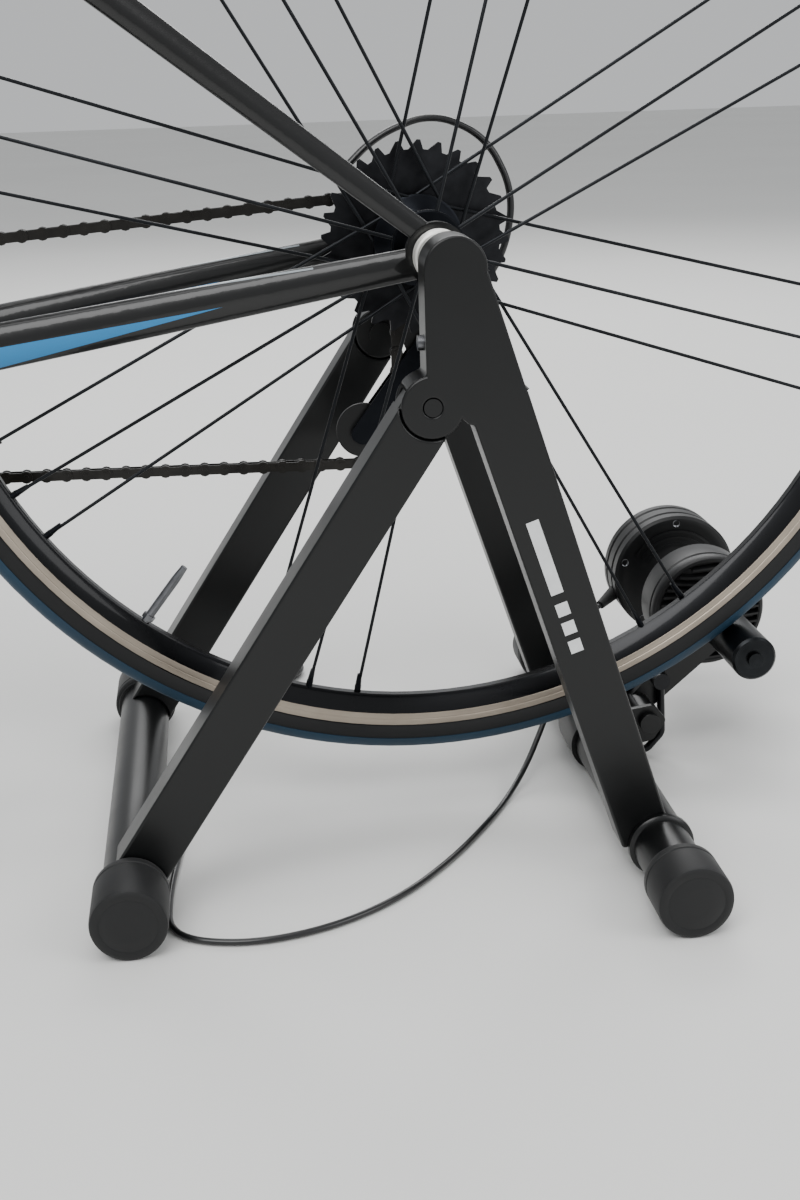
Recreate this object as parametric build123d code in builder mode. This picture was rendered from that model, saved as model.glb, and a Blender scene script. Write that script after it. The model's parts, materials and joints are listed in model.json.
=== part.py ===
from build123d import *
import math
import os

# A road bicycle clamped by its rear axle in a folding magnetic training stand.
# Millimetres. +X runs from the front wheel to the rear wheel, +Y is the chain side, +Z is up.
# The origin is on the floor, half way between the two wheel centres.

# driving sizes
wheel_r = 334.0
axle_spacing = 985.0
axle_lift = 36.0
rear_axle_z = wheel_r + axle_lift
clear = 0.3
run_fit = 0.05

tyre_half = 11.5
tyre_centre_r = wheel_r - tyre_half
tyre_depth = 18.0
rim_outer_r = wheel_r - tyre_depth
rim_depth = 20.0
rim_inner_r = rim_outer_r - rim_depth
rim_half = 9.5
rim_edge_half = 2.6

drop_half = 65.0
drop_thick = 6.0
front_drop_half = 50.0

stay_room = 71.0
bb_u = -(wheel_r + stay_room)
bb_w = -58.0
bb_shell_r = 21.0
bb_shell_half = 34.0
crank_axle_r = 12.0
crank_length = 172.5
seat_angle = 73.5
seat_tube_length = 500.0
seat_tube_r = 16.0
seatpost_r = 13.6
head_angle = 73.0
fork_rake = 43.0
fork_room = 34.0
fork_length = wheel_r + fork_room
head_length = 140.0
head_r = 21.0
steerer_r = 14.25
stem_length = 100.0
bar_r = 12.0
bar_half = 200.0
bar_reach = 80.0
bar_drop = 125.0

leg_outer_y = 139.0
leg_depth = 26.0
head_end_r = 17.0
foot_z = 22.0
front_foot = (-198.0, foot_z - rear_axle_z)
rear_foot = (119.0, foot_z - rear_axle_z)
foot_bar_r = 17.5
foot_cap_r = 22.4
front_foot_half = 182.0
rear_foot_half = 213.0
front_cap_length = 42.0
rear_cap_length = 33.0
fold_pivot = (-13.8, -73.3)
leg_half = 15.5
tongue_half = 9.5
lug_r = 17.5
pin_r = 5.0

roller_r = 15.0
roller_angle = -52.5
roller_half = 32.0
shaft_r = 5.0
fin_face_y = 66.0
fin_depth = 34.0
fin_r = 41.0
disc_face_y = 150.0
disc_depth = 36.0
disc_r = 47.0

chain_inset = 15.0
chain_y = drop_half - chain_inset
chain_pitch = 12.7
chain_half_height = 4.2
chain_half_width = 2.6
ring_teeth = 34
big_ring_teeth = 50
cog_teeth = 13
jockey_teeth = 11
cog_counts = [28, 25, 23, 21, 19, 17, 15, 14, 13, 12]
cog_pitch = 3.75
cog_half_thick = 0.9

# places worked out from the sizes
pitch_angle = math.asin((rear_axle_z - wheel_r) / axle_spacing)
rear_x = axle_spacing * math.cos(pitch_angle) / 2
cos_p, sin_p = math.cos(pitch_angle), math.sin(pitch_angle)


def stand(x, z, y=0.0):
    """A point given from the rear axle, in the level directions of the stand."""
    return Vector(rear_x + x, y, rear_axle_z + z)


def at_rear_foot(x, z, y=0.0):
    """A point given from the middle of the rear foot tube."""
    return stand(rear_foot[0] + x, rear_foot[1] + z, y)


def bike(u, w, y=0.0):
    """A point given from the rear axle in the bicycle's own directions, which tip nose down."""
    return Vector(rear_x + u * cos_p - w * sin_p, y, rear_axle_z + u * sin_p + w * cos_p)


def pitch_radius(teeth):
    return chain_pitch / (2 * math.sin(math.pi / teeth))


def across(point):
    """A plane square to the axles, through a point, that extrudes towards +Y."""
    return Plane(origin=point, x_dir=(1, 0, 0), z_dir=(0, 1, 0))


def side_plane(y):
    """The side view's plane at a given y: sketch x is world X, sketch y is world -Z."""
    return Plane(origin=(0, y, 0), x_dir=(1, 0, 0), z_dir=(0, 1, 0))


def flat(point):
    """A world point as sketch coordinates on side_plane."""
    return (point.X, -point.Z)


def disc(centre, y_low, y_high, r, hole=0.0):
    with BuildPart() as made:
        with BuildSketch(across(Vector(centre.X, y_low, centre.Z))):
            Circle(r)
            if hole > 0:
                Circle(hole, mode=Mode.SUBTRACT)
        extrude(amount=y_high - y_low)
    return made.part


def rod(start, end, r):
    with BuildPart() as made:
        with BuildSketch(Plane(origin=start, z_dir=end - start)):
            Circle(r)
        extrude(amount=(end - start).length)
    return made.part


def oval(start, end, size_start, size_end):
    """A tapering oval tube, sizes given as (width across Y, height)."""
    with BuildPart() as made:
        for point, size in ((start, size_start), (end, size_end)):
            with BuildSketch(Plane(origin=point, x_dir=(0, 1, 0), z_dir=end - start)):
                Ellipse(size[0] / 2, size[1] / 2)
        loft()
    return made.part


def plate(points, y_low, y_high, rounding=0.0):
    """A flat piece cut to an outline of world points, between two y values."""
    with BuildPart() as made:
        with BuildSketch(side_plane(y_low)) as face:
            with BuildLine():
                Polyline([flat(p) for p in points], close=True)
            make_face()
            if rounding > 0:
                fillet(face.vertices(), rounding)
        extrude(amount=y_high - y_low)
    return made.part


def mirrored(part):
    with BuildPart() as made:
        add(part)
        mirror(about=Plane.XZ, mode=Mode.REPLACE)
    return made.part


def save(part, name):
    part.label = name
    export_step(part, "parts/" + name + ".step")


os.makedirs("parts", exist_ok=True)

rear_axle = stand(0, 0)
front_axle = bike(-axle_spacing, 0)
bb = bike(bb_u, bb_w)
seat_dir = (math.cos(math.radians(seat_angle)), math.sin(math.radians(seat_angle)))
head_dir = (math.cos(math.radians(head_angle)), math.sin(math.radians(head_angle)))


def on_seat_tube(along, y=0.0):
    return bike(bb_u + along * seat_dir[0], bb_w + along * seat_dir[1], y)


axis_foot = (-axle_spacing + fork_rake * head_dir[1], -fork_rake * head_dir[0])
crown_along = math.sqrt(fork_length**2 - fork_rake**2)


def on_steering(along, y=0.0, ahead=0.0):
    """A point on the steering axis, measured up from the point nearest the front axle."""
    u = axis_foot[0] + along * head_dir[0] - ahead * head_dir[1]
    w = axis_foot[1] + along * head_dir[1] + ahead * head_dir[0]
    return bike(u, w, y)


# wheels
def rim_part(axle):
    with BuildPart() as made:
        with BuildSketch(Plane(origin=axle, x_dir=(1, 0, 0), z_dir=(0, 0, 1))):
            with BuildLine():
                Polyline(
                    (rim_inner_r, -rim_edge_half),
                    (rim_inner_r + 11, -rim_half),
                    (rim_outer_r, -rim_half),
                    (rim_outer_r, rim_half),
                    (rim_inner_r + 11, rim_half),
                    (rim_inner_r, rim_edge_half),
                    close=True,
                )
            make_face()
        revolve(axis=Axis(axle, (0, 1, 0)))
    return made.part


def tyre_part(axle):
    with BuildPart() as made:
        with BuildSketch(Plane(origin=axle, x_dir=(1, 0, 0), z_dir=(0, 0, 1))):
            with Locations((tyre_centre_r, 0)):
                Circle(tyre_half)
            with Locations((rim_outer_r - tyre_half, 0)):
                Rectangle(2 * tyre_half, 4 * tyre_half, mode=Mode.SUBTRACT)
        revolve(axis=Axis(axle, (0, 1, 0)))
    return made.part


spoke_r = 1.1
spoke_end_r = rim_inner_r - 0.2


def spoke_end(axle, angle_deg, r, y):
    a = math.radians(angle_deg)
    return Vector(axle.X + r * math.cos(a), y, axle.Z + r * math.sin(a))


hub_near_flange_y = -33.0
hub_far_flange_y = chain_y - 41.0
near_flange_r = 19.0
far_flange_r = 25.0
spoke_groups = 8
group_phase = 29.0
group_spread = 6.4
rear_spoke_parts = []
for group in range(spoke_groups):
    middle = group_phase + group * 360 / spoke_groups
    hub_point = spoke_end(rear_axle, middle, near_flange_r + 1.5, hub_near_flange_y)
    rear_spoke_parts.append(rod(hub_point, spoke_end(rear_axle, middle, spoke_end_r, -1.5), spoke_r))
    for side in (-1, 1):
        turn = middle + side * 62
        hub_point = spoke_end(rear_axle, turn, far_flange_r + 1.5, hub_far_flange_y + side * 2.2)
        rim_point = spoke_end(rear_axle, middle + side * group_spread, spoke_end_r, 1.5)
        rear_spoke_parts.append(rod(hub_point, rim_point, spoke_r))

with BuildPart() as rear_spokes:
    add(rear_spoke_parts)
save(rear_spokes.part, "rear_spokes")

with BuildPart() as rear_rim:
    add(rim_part(rear_axle))
save(rear_rim.part, "rear_rim")

with BuildPart() as rear_tyre:
    add(tyre_part(rear_axle))
save(rear_tyre.part, "rear_tyre")

hub_axle_r = 8.0
skewer_r = 2.5
with BuildPart() as rear_hub:
    add(disc(rear_axle, hub_near_flange_y - 3, hub_near_flange_y + 3, near_flange_r))
    add(disc(rear_axle, hub_near_flange_y, hub_far_flange_y, 12.0))
    add(disc(rear_axle, hub_far_flange_y - 3.6, hub_far_flange_y + 3.6, far_flange_r))
    add(disc(rear_axle, -drop_half + 4, drop_half - 4, hub_axle_r))
    add(disc(rear_axle, -drop_half, drop_half, skewer_r + run_fit), mode=Mode.SUBTRACT)
save(rear_hub.part, "rear_hub")

front_spoke_count = 20
front_flange_y = 34.0
front_flange_r = 16.0
with BuildPart() as front_hub:
    add(disc(front_axle, -front_flange_y - 1.5, front_flange_y + 1.5, 9.0))
    for side in (-1, 1):
        add(disc(front_axle, side * front_flange_y - 1.5, side * front_flange_y + 1.5, front_flange_r))
    add(disc(front_axle, -front_drop_half + 0.5, front_drop_half - 0.5, 6.0))
    add(disc(front_axle, -front_drop_half, front_drop_half, skewer_r + run_fit), mode=Mode.SUBTRACT)
front_hub_set = [front_hub.part]
for spoke in range(front_spoke_count):
    side = 1 if spoke % 2 else -1
    angle = spoke * 360 / front_spoke_count
    inner = spoke_end(front_axle, angle, front_flange_r + 0.2, side * front_flange_y)
    front_hub_set.append(rod(inner, spoke_end(front_axle, angle, spoke_end_r, side * 1.2), spoke_r))
save(Compound(children=front_hub_set), "front_hub")

with BuildPart() as front_rim:
    add(rim_part(front_axle))
save(front_rim.part, "front_rim")

with BuildPart() as front_tyre:
    add(tyre_part(front_axle))
save(front_tyre.part, "front_tyre")


# bicycle frame
seat_top = on_seat_tube(seat_tube_length)
seat_envelope = rod(on_seat_tube(-5), on_seat_tube(seat_tube_length + 20), seat_tube_r)
shell_envelope = disc(bb, -bb_shell_half, bb_shell_half, bb_shell_r)
head_low = crown_along + 3
head_envelope = rod(on_steering(head_low - 10), on_steering(head_low + head_length + 10), head_r)

with BuildPart() as seat_tube:
    add(rod(bb, seat_top, seat_tube_r))
    add(shell_envelope)
    add(disc(bb, -bb_shell_half, bb_shell_half, crank_axle_r + run_fit), mode=Mode.SUBTRACT)
    add(rod(on_seat_tube(200), on_seat_tube(seat_tube_length + 5), seatpost_r), mode=Mode.SUBTRACT)
save(seat_tube.part, "seat_tube")

with BuildPart() as head_tube:
    add(rod(on_steering(head_low), on_steering(head_low + head_length), head_r))
    add(
        rod(on_steering(head_low - 5), on_steering(head_low + head_length + 5), steerer_r + run_fit),
        mode=Mode.SUBTRACT,
    )
save(head_tube.part, "head_tube")

down_end = on_steering(head_low + 37)
with BuildPart() as down_tube:
    add(oval(bb, down_end, (44, 40), (34, 46)))
    add(shell_envelope, mode=Mode.SUBTRACT)
    add(seat_envelope, mode=Mode.SUBTRACT)
    add(head_envelope, mode=Mode.SUBTRACT)
    add(rod(on_steering(crown_along - 40), on_steering(head_low + 1), 32), mode=Mode.SUBTRACT)
save(down_tube.part.solids().sort_by(SortBy.VOLUME)[-1], "down_tube")

down_envelope = oval(bb, down_end, (44, 40), (34, 46))
with BuildPart() as top_tube:
    add(oval(on_seat_tube(seat_tube_length - 28), on_steering(head_low + head_length - 24), (30, 30), (30, 38)))
    add(seat_envelope, mode=Mode.SUBTRACT)
    add(head_envelope, mode=Mode.SUBTRACT)
    add(down_envelope, mode=Mode.SUBTRACT)
save(top_tube.part.solids().sort_by(SortBy.VOLUME)[-1], "top_tube")

stay_join = 338.0
dropout_r = 18.0
stay_y = drop_half + drop_thick / 2
chainstay_parts = []
seatstay_parts = []
for side in (-1, 1):
    outer_face = side * (drop_half + drop_thick)
    inner_face = side * drop_half
    low_y, high_y = min(inner_face, outer_face), max(inner_face, outer_face)
    with BuildPart() as chainstay:
        add(oval(stand(-6, -4, side * stay_y), bike(bb_u, bb_w + 4, side * (chain_y - 20)), (9, 18), (20, 32)))
        add(disc(rear_axle, low_y, high_y, dropout_r))
        add(plate([stand(-12, -10), stand(14, -6), stand(18, -36), stand(2, -36)], low_y, high_y, 3))
        add(shell_envelope, mode=Mode.SUBTRACT)
        add(seat_envelope, mode=Mode.SUBTRACT)
        add(down_envelope, mode=Mode.SUBTRACT)
        add(disc(bb, -bb_shell_half - 20, bb_shell_half + 20, bb_shell_r), mode=Mode.SUBTRACT)
        add(disc(rear_axle, low_y - 9, high_y + 9, skewer_r + run_fit), mode=Mode.SUBTRACT)
        cleaner_low = min(side * (drop_half - 8), side * drop_half)
        add(disc(rear_axle, cleaner_low, cleaner_low + 8, dropout_r + 8), mode=Mode.SUBTRACT)
        cleaner_low = min(side * (drop_half + drop_thick), side * (drop_half + drop_thick + 8))
        add(disc(rear_axle, cleaner_low, cleaner_low + 8, dropout_r + 8), mode=Mode.SUBTRACT)
    chainstay_parts.append(chainstay.part.solids().sort_by(SortBy.VOLUME)[-1])
    with BuildPart() as seatstay:
        add(oval(stand(-8, 12, side * stay_y), on_seat_tube(stay_join, side * 17), (8, 13), (13, 22)))
        add(seat_envelope, mode=Mode.SUBTRACT)
        add(chainstay_parts[-1], mode=Mode.SUBTRACT)
        add(disc(rear_axle, low_y - 9, high_y + 9, dropout_r), mode=Mode.SUBTRACT)
    seatstay_parts.append(seatstay.part.solids().sort_by(SortBy.VOLUME)[-1])
save(Compound(children=chainstay_parts), "chainstays")

stay_axis = (on_seat_tube(stay_join) - stand(-8, 12)).normalized()
rear_bolt = stand(-8, 12) + stay_axis * (rim_outer_r + 32)
brake_bolt_r = 3.0
with BuildPart() as stay_bridge:
    add(disc(rear_bolt, -26, 26, 6.5))
    add(seatstay_parts[0], mode=Mode.SUBTRACT)
    add(seatstay_parts[1], mode=Mode.SUBTRACT)
    rear_brake_out = Vector(-stay_axis.Z, 0, stay_axis.X) * -1
    add(rod(rear_bolt - rear_brake_out * 9, rear_bolt + rear_brake_out * 9, brake_bolt_r), mode=Mode.SUBTRACT)
bridge_solid = stay_bridge.part.solids().sort_by(SortBy.VOLUME)[-1]
save(Compound(children=seatstay_parts + [bridge_solid]), "seatstays")

# seatpost and saddle
saddle_along = seat_tube_length + 215
saddle_mid = on_seat_tube(saddle_along)
rail_y = 22.0
rail_r = 3.5
with BuildPart() as seatpost:
    add(rod(on_seat_tube(260), on_seat_tube(saddle_along - 35), seatpost_r))
    head_mid = on_seat_tube(saddle_along - 29)
    head_corners = [head_mid + Vector(x, 0, z) for x, z in ((-19, -10), (19, -10), (19, 11), (-19, 11))]
    add(plate(head_corners, -29, 29, 5))
    for side in (-1, 1):
        rail_line = on_seat_tube(saddle_along - 26, side * rail_y)
        add(rod(rail_line - Vector(60, 0, 0), rail_line + Vector(60, 0, 0), rail_r + 0.2), mode=Mode.SUBTRACT)
save(seatpost.part, "seatpost")

rail_parts = []
for side in (-1, 1):
    rail_line = on_seat_tube(saddle_along - 26, side * rail_y)
    with BuildPart() as rail:
        with BuildLine():
            FilletPolyline(
                rail_line + Vector(-95, -side * 8, 26),
                rail_line + Vector(-48, 0, 0),
                rail_line + Vector(52, 0, 0),
                rail_line + Vector(92, side * 14, 26),
                radius=24,
            )
        with BuildSketch(Plane(origin=rail_line + Vector(-95, -side * 8, 26), z_dir=(47, side * 8, -26))):
            Circle(rail_r)
        sweep()
    rail_parts.append(rail.part)
save(Compound(children=rail_parts), "saddle_rails")

pad_low = rail_line.Z + 26 + rail_r + 1
with BuildPart() as saddle:
    with BuildSketch(Plane.XY.offset(pad_low)):
        with BuildLine():
            Spline(
                (saddle_mid.X - 160, 0),
                (saddle_mid.X - 140, 20),
                (saddle_mid.X - 40, 24),
                (saddle_mid.X + 50, 58),
                (saddle_mid.X + 96, 68),
                (saddle_mid.X + 112, 40),
                (saddle_mid.X + 105, 0),
            )
            mirror(about=Plane.XZ)
        make_face()
    extrude(amount=34)
    fillet(saddle.faces().sort_by(Axis.Z)[-1].edges(), 14)
save(saddle.part, "saddle")

# rear axle clamp
cone_end = drop_half + drop_thick + 10
with BuildPart() as rear_skewer:
    add(disc(rear_axle, -cone_end + 1, cone_end - 1, skewer_r))
    for side in (-1, 1):
        face = side * (drop_half + drop_thick)
        tip = side * cone_end
        with BuildSketch(Plane(origin=(rear_axle.X, face, rear_axle.Z), z_dir=(0, side, 0))):
            Circle(9)
        with BuildSketch(Plane(origin=(rear_axle.X, tip, rear_axle.Z), z_dir=(0, side, 0))):
            Circle(6)
        loft()
save(rear_skewer.part, "rear_skewer")

leg_inner_y = leg_outer_y - leg_depth
cup_r = 15.0
cup_face = drop_half + drop_thick + 3
neck_r = 11.0
screw_r = 8.0


def cup_part(side):
    """A stepped cup whose tapered mouth takes the skewer's cone, on a neck and a stub."""
    with BuildPart() as made:
        with BuildSketch(Plane(origin=rear_axle, x_dir=(1, 0, 0), z_dir=(0, 0, 1))):
            with BuildLine():
                Polyline(
                    (0, cone_end + 2),
                    (6.8, cone_end + 2),
                    (10.5, cup_face),
                    (cup_r - 1.5, cup_face),
                    (cup_r, cup_face + 3),
                    (cup_r, cup_face + 9),
                    (cup_r - 2, cup_face + 10),
                    (cup_r - 2, cup_face + 18),
                    (neck_r, cup_face + 24),
                    (neck_r, leg_inner_y),
                    (screw_r, leg_inner_y),
                    (screw_r, leg_inner_y + 10),
                    (0, leg_inner_y + 10),
                    close=True,
                )
            make_face()
        revolve(axis=Axis(rear_axle, (0, 1, 0)))
    return made.part if side > 0 else mirrored(made.part)


with BuildPart() as clamp_cup_near:
    add(cup_part(-1))
save(clamp_cup_near.part, "clamp_cup_near")

# the moving cup, pushed by a screw with a bar handle
clamp_travel = 12.0
far_neck_end = leg_inner_y - clamp_travel - 0.5
with BuildPart() as clamp_cup_far:
    add(cup_part(1))
    add(disc(rear_axle, far_neck_end, leg_inner_y + 20, neck_r + 1), mode=Mode.SUBTRACT)
save(clamp_cup_far.part, "clamp_cup_far")

handle_y = leg_outer_y + 26
with BuildPart() as clamp_screw:
    add(disc(rear_axle, far_neck_end + run_fit, handle_y, screw_r))
    add(disc(rear_axle, leg_outer_y + 18, leg_outer_y + 40, 13))
    add(rod(stand(0, -34, handle_y + 3), stand(0, 34, handle_y + 3), 6))
    fillet(clamp_screw.edges().filter_by(GeomType.CIRCLE).group_by(Axis.Z)[0], 2)
    fillet(clamp_screw.edges().filter_by(GeomType.CIRCLE).group_by(Axis.Z)[-1], 2)
save(clamp_screw.part, "clamp_screw")

# stand: legs and feet
pin_point = stand(*fold_pivot)
front_len = math.hypot(front_foot[0] - fold_pivot[0], front_foot[1] - fold_pivot[1])
front_dir = ((front_foot[0] - fold_pivot[0]) / front_len, (front_foot[1] - fold_pivot[1]) / front_len)


def along_front(distance, sideways):
    """A point along the front leg from its pivot, sideways positive towards the rear leg."""
    x = fold_pivot[0] + distance * front_dir[0] - sideways * front_dir[1]
    z = fold_pivot[1] + distance * front_dir[1] + sideways * front_dir[0]
    return stand(x, z)


def rear_leg_part(screw_hole):
    """Head, fold lug and rear leg in one welded piece, on the -Y side."""
    low, high = -leg_outer_y, -leg_inner_y
    with BuildPart() as made:
        add(plate([stand(-17, 0), stand(17, -2), stand(44, -86), stand(6, -84), stand(-17, -62)], low, high))
        add(disc(rear_axle, low, high, head_end_r))
        add(plate([stand(4, -70), stand(38, -66), at_rear_foot(8, 4), at_rear_foot(-23, -2)], low, high))
        add(disc(pin_point, low, high, lug_r))
        slot_low, slot_high = low + (leg_depth / 2 - tongue_half), high - (leg_depth / 2 - tongue_half)
        add(disc(pin_point, slot_low - clear, slot_high + clear, leg_half + 1), mode=Mode.SUBTRACT)
        sweep_corners = [
            pin_point,
            along_front(0, -leg_half - 3),
            along_front(60, -leg_half - 3),
            along_front(90, 10),
            stand(-2, -130),
            stand(fold_pivot[0] + 17, fold_pivot[1] - 30),
            stand(fold_pivot[0] + 16.5, fold_pivot[1] + 2),
        ]
        add(plate(sweep_corners, slot_low - clear, slot_high + clear), mode=Mode.SUBTRACT)
        add(disc(pin_point, low - 1, high + 1, pin_r), mode=Mode.SUBTRACT)
        foot_point = stand(*rear_foot)
        add(disc(foot_point, low - 1, high + 1, foot_bar_r), mode=Mode.SUBTRACT)
        add(disc(rear_axle, low + 3, high + 1, screw_r), mode=Mode.SUBTRACT)
        if screw_hole:
            add(disc(rear_axle, low - 1, high + 1, screw_r + run_fit), mode=Mode.SUBTRACT)
    return made.part.solids().sort_by(SortBy.VOLUME)[-1]


with BuildPart() as rear_leg_near:
    add(rear_leg_part(False))
save(rear_leg_near.part, "rear_leg_near")

with BuildPart() as rear_leg_far:
    add(mirrored(rear_leg_part(True)))
save(rear_leg_far.part, "rear_leg_far")

front_foot_point = stand(*front_foot)


def front_leg_part():
    """A flat-sided leg with a thinner rounded tongue that turns in the head's lug."""
    low, high = -leg_outer_y, -leg_inner_y
    slot_low, slot_high = low + (leg_depth / 2 - tongue_half), high - (leg_depth / 2 - tongue_half)
    with BuildPart() as made:
        corners = [
            along_front(8, -leg_half),
            along_front(8, leg_half),
            along_front(front_len - 2, leg_half),
            along_front(front_len + 4, -leg_half),
        ]
        add(plate(corners, low, high))
        add(disc(pin_point, low - 1, high + 1, lug_r + 0.6), mode=Mode.SUBTRACT)
        add(disc(pin_point, slot_low + clear, slot_high - clear, leg_half))
        add(plate(
            [along_front(0, -leg_half), along_front(0, leg_half), along_front(30, leg_half), along_front(30, -leg_half)],
            slot_low + clear, slot_high - clear))
        add(disc(pin_point, low - 1, high + 1, pin_r + run_fit), mode=Mode.SUBTRACT)
        add(disc(front_foot_point, low - 1, high + 1, foot_bar_r), mode=Mode.SUBTRACT)
    return made.part.solids().sort_by(SortBy.VOLUME)[-1]


with BuildPart() as front_leg_near:
    add(front_leg_part())
save(front_leg_near.part, "front_leg_near")

with BuildPart() as front_leg_far:
    add(mirrored(front_leg_part()))
save(front_leg_far.part, "front_leg_far")

fold_pin_parts = []
for side in (-1, 1):
    with BuildPart() as fold_pin:
        shank_low, shank_high = sorted((side * leg_inner_y, side * leg_outer_y))
        add(disc(pin_point, shank_low, shank_high, pin_r))
        nut_low, nut_high = sorted((side * (leg_inner_y - 3.5), side * leg_inner_y))
        add(disc(pin_point, nut_low, nut_high, pin_r + 3))
    fold_pin_parts.append(fold_pin.part)
save(Compound(children=fold_pin_parts), "fold_pins")


def foot_bar(centre, half):
    """A steel tube lying across the stand."""
    return disc(centre, -half + 3, half - 3, foot_bar_r, foot_bar_r - 2)


def foot_caps(centre, half, cap_length):
    """Two rubber cups over the ends of a foot bar, each with a narrow flat on the floor."""
    caps = []
    for side in (-1, 1):
        inner, outer = sorted((side * (half - cap_length), side * half))
        with BuildPart() as made:
            add(disc(centre, inner, outer, foot_cap_r))
            chamfer(made.edges().filter_by(GeomType.CIRCLE), 2)
            bore_low, bore_high = sorted((side * (half - cap_length - 1), side * (half - 3)))
            add(disc(centre, bore_low, bore_high, foot_bar_r), mode=Mode.SUBTRACT)
            with Locations((centre.X, side * half, -5)):
                Box(80, 200, 10, mode=Mode.SUBTRACT)
        caps.append(made.part)
    return Compound(children=caps)


with BuildPart() as front_foot_bar:
    add(foot_bar(front_foot_point, front_foot_half))
save(front_foot_bar.part, "front_foot_bar")
save(foot_caps(front_foot_point, front_foot_half, front_cap_length), "front_foot_caps")

rear_foot_point = stand(*rear_foot)
with BuildPart() as rear_foot_bar:
    add(foot_bar(rear_foot_point, rear_foot_half))
save(rear_foot_bar.part, "rear_foot_bar")
save(foot_caps(rear_foot_point, rear_foot_half, rear_cap_length), "rear_foot_caps")

# resistance unit
contact = math.radians(roller_angle)
roller_reach = wheel_r + roller_r + 0.15
roller_point = stand(roller_reach * math.cos(contact), roller_reach * math.sin(contact))
arm_pivot = at_rear_foot(34, 14)
pivot_r = 4.0
yoke_y = roller_half + 5.0
yoke_thick = 5.0
rod_pivot = at_rear_foot(49, 34)
rod_y = 31.5

ear_thick = 4.0
ear_low_y = 8.0
ear_high_y = yoke_y + yoke_thick + 2.5
with BuildPart() as bracket_body:
    for low in (ear_low_y, ear_high_y):
        outline = [
            rear_foot_point + Vector(2, 0, 21),
            arm_pivot + Vector(4, 0, 12),
            arm_pivot + Vector(13, 0, 0),
            arm_pivot + Vector(4, 0, -14),
            rear_foot_point + Vector(0, 0, -10),
        ]
        add(plate(outline, low, low + ear_thick, 4))
    add(disc(rear_foot_point, ear_low_y, ear_high_y + ear_thick, foot_bar_r + 3))
    add(disc(rear_foot_point, ear_low_y - 9, ear_high_y + 9, foot_bar_r), mode=Mode.SUBTRACT)
    add(disc(arm_pivot, ear_low_y - 9, ear_high_y + 9, pivot_r), mode=Mode.SUBTRACT)
with BuildPart() as pivot_bolt:
    add(disc(arm_pivot, ear_low_y - 4, ear_high_y + ear_thick + 4, pivot_r))
    add(disc(arm_pivot, ear_low_y - 5, ear_low_y, 7))
    add(disc(arm_pivot, ear_high_y + ear_thick, ear_high_y + ear_thick + 5, 7))
save(Compound(children=[bracket_body.part, pivot_bolt.part]), "roller_bracket")

roller_dir = (roller_point - arm_pivot).normalized()
roller_side = Vector(-roller_dir.Z, 0, roller_dir.X)
barrel_r = 9.0
rod_hole_r = 3.0
with BuildPart() as unit_yoke:
    outline = [
        arm_pivot - roller_dir * 10 + roller_side * 8,
        arm_pivot - roller_dir * 10 - roller_side * 8,
        roller_point + roller_dir * 4 - roller_side * 13,
        roller_point + roller_dir * 13,
        roller_point + roller_dir * 4 + roller_side * 13,
    ]
    add(plate(outline, yoke_y, yoke_y + yoke_thick, 5))
    add(disc(arm_pivot, ear_low_y + ear_thick + clear, ear_high_y - clear, barrel_r))
    add(disc(arm_pivot, ear_low_y - 9, ear_high_y + 9, pivot_r + run_fit), mode=Mode.SUBTRACT)
    add(disc(roller_point, yoke_y - 9, yoke_y + yoke_thick + 9, shaft_r + run_fit), mode=Mode.SUBTRACT)
    add(disc(rod_pivot, yoke_y - 1, yoke_y + yoke_thick + 1, rod_hole_r), mode=Mode.SUBTRACT)
save(unit_yoke.part, "unit_yoke")

fin_back = fin_face_y + fin_depth
disc_back = disc_face_y + disc_depth
with BuildPart() as roller:
    add(disc(roller_point, -roller_half, roller_half, roller_r))
    chamfer(roller.edges().filter_by(GeomType.CIRCLE), 1.5)
    add(disc(roller_point, -roller_half - 3, disc_back - 6, shaft_r))
save(roller.part, "roller")

with BuildPart() as flywheel:
    add(disc(roller_point, fin_face_y + 8, fin_back - 8, fin_r - 7, shaft_r))
    add(disc(roller_point, disc_face_y + 10, disc_back - 9, disc_r - 8, shaft_r))
save(flywheel.part, "flywheel")


def drum(face, back, r, wall):
    """A closed drum with a shaft hole at each end."""
    with BuildPart() as made:
        add(disc(roller_point, face, back, r))
        fillet(made.edges().filter_by(GeomType.CIRCLE), 2.5)
        add(disc(roller_point, face + wall, back - wall, r - wall), mode=Mode.SUBTRACT)
    return made.part


neck_start = yoke_y + yoke_thick
with BuildPart() as fin_cover:
    add(drum(fin_face_y, fin_back, fin_r, 3.0))
    add(disc(roller_point, neck_start, fin_face_y + 1, 12))
    for rib in range(6):
        rib_z = -25 + rib * 10
        half = math.sqrt((fin_r - 6) ** 2 - rib_z**2)
        if abs(rib_z) > 13:
            rib_low = roller_point + Vector(-half, 0, rib_z)
            rib_corners = [rib_low, rib_low + Vector(2 * half, 0, 0)]
            rib_corners += [rib_low + Vector(2 * half, 0, 2.4), rib_low + Vector(0, 0, 2.4)]
            add(plate(rib_corners, fin_face_y - 2, fin_face_y + 1))
    add(disc(roller_point, neck_start - 1, fin_back + 1, shaft_r + 1), mode=Mode.SUBTRACT)
save(fin_cover.part, "fin_cover")

with BuildPart() as magnet_housing:
    add(drum(disc_face_y, disc_back, disc_r, 3.0))
    add(disc(roller_point, fin_back, disc_face_y + 1, 15))
    add(disc(roller_point, fin_back - 1, disc_back - 4, shaft_r + 1), mode=Mode.SUBTRACT)
save(magnet_housing.part, "magnet_housing")

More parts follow.
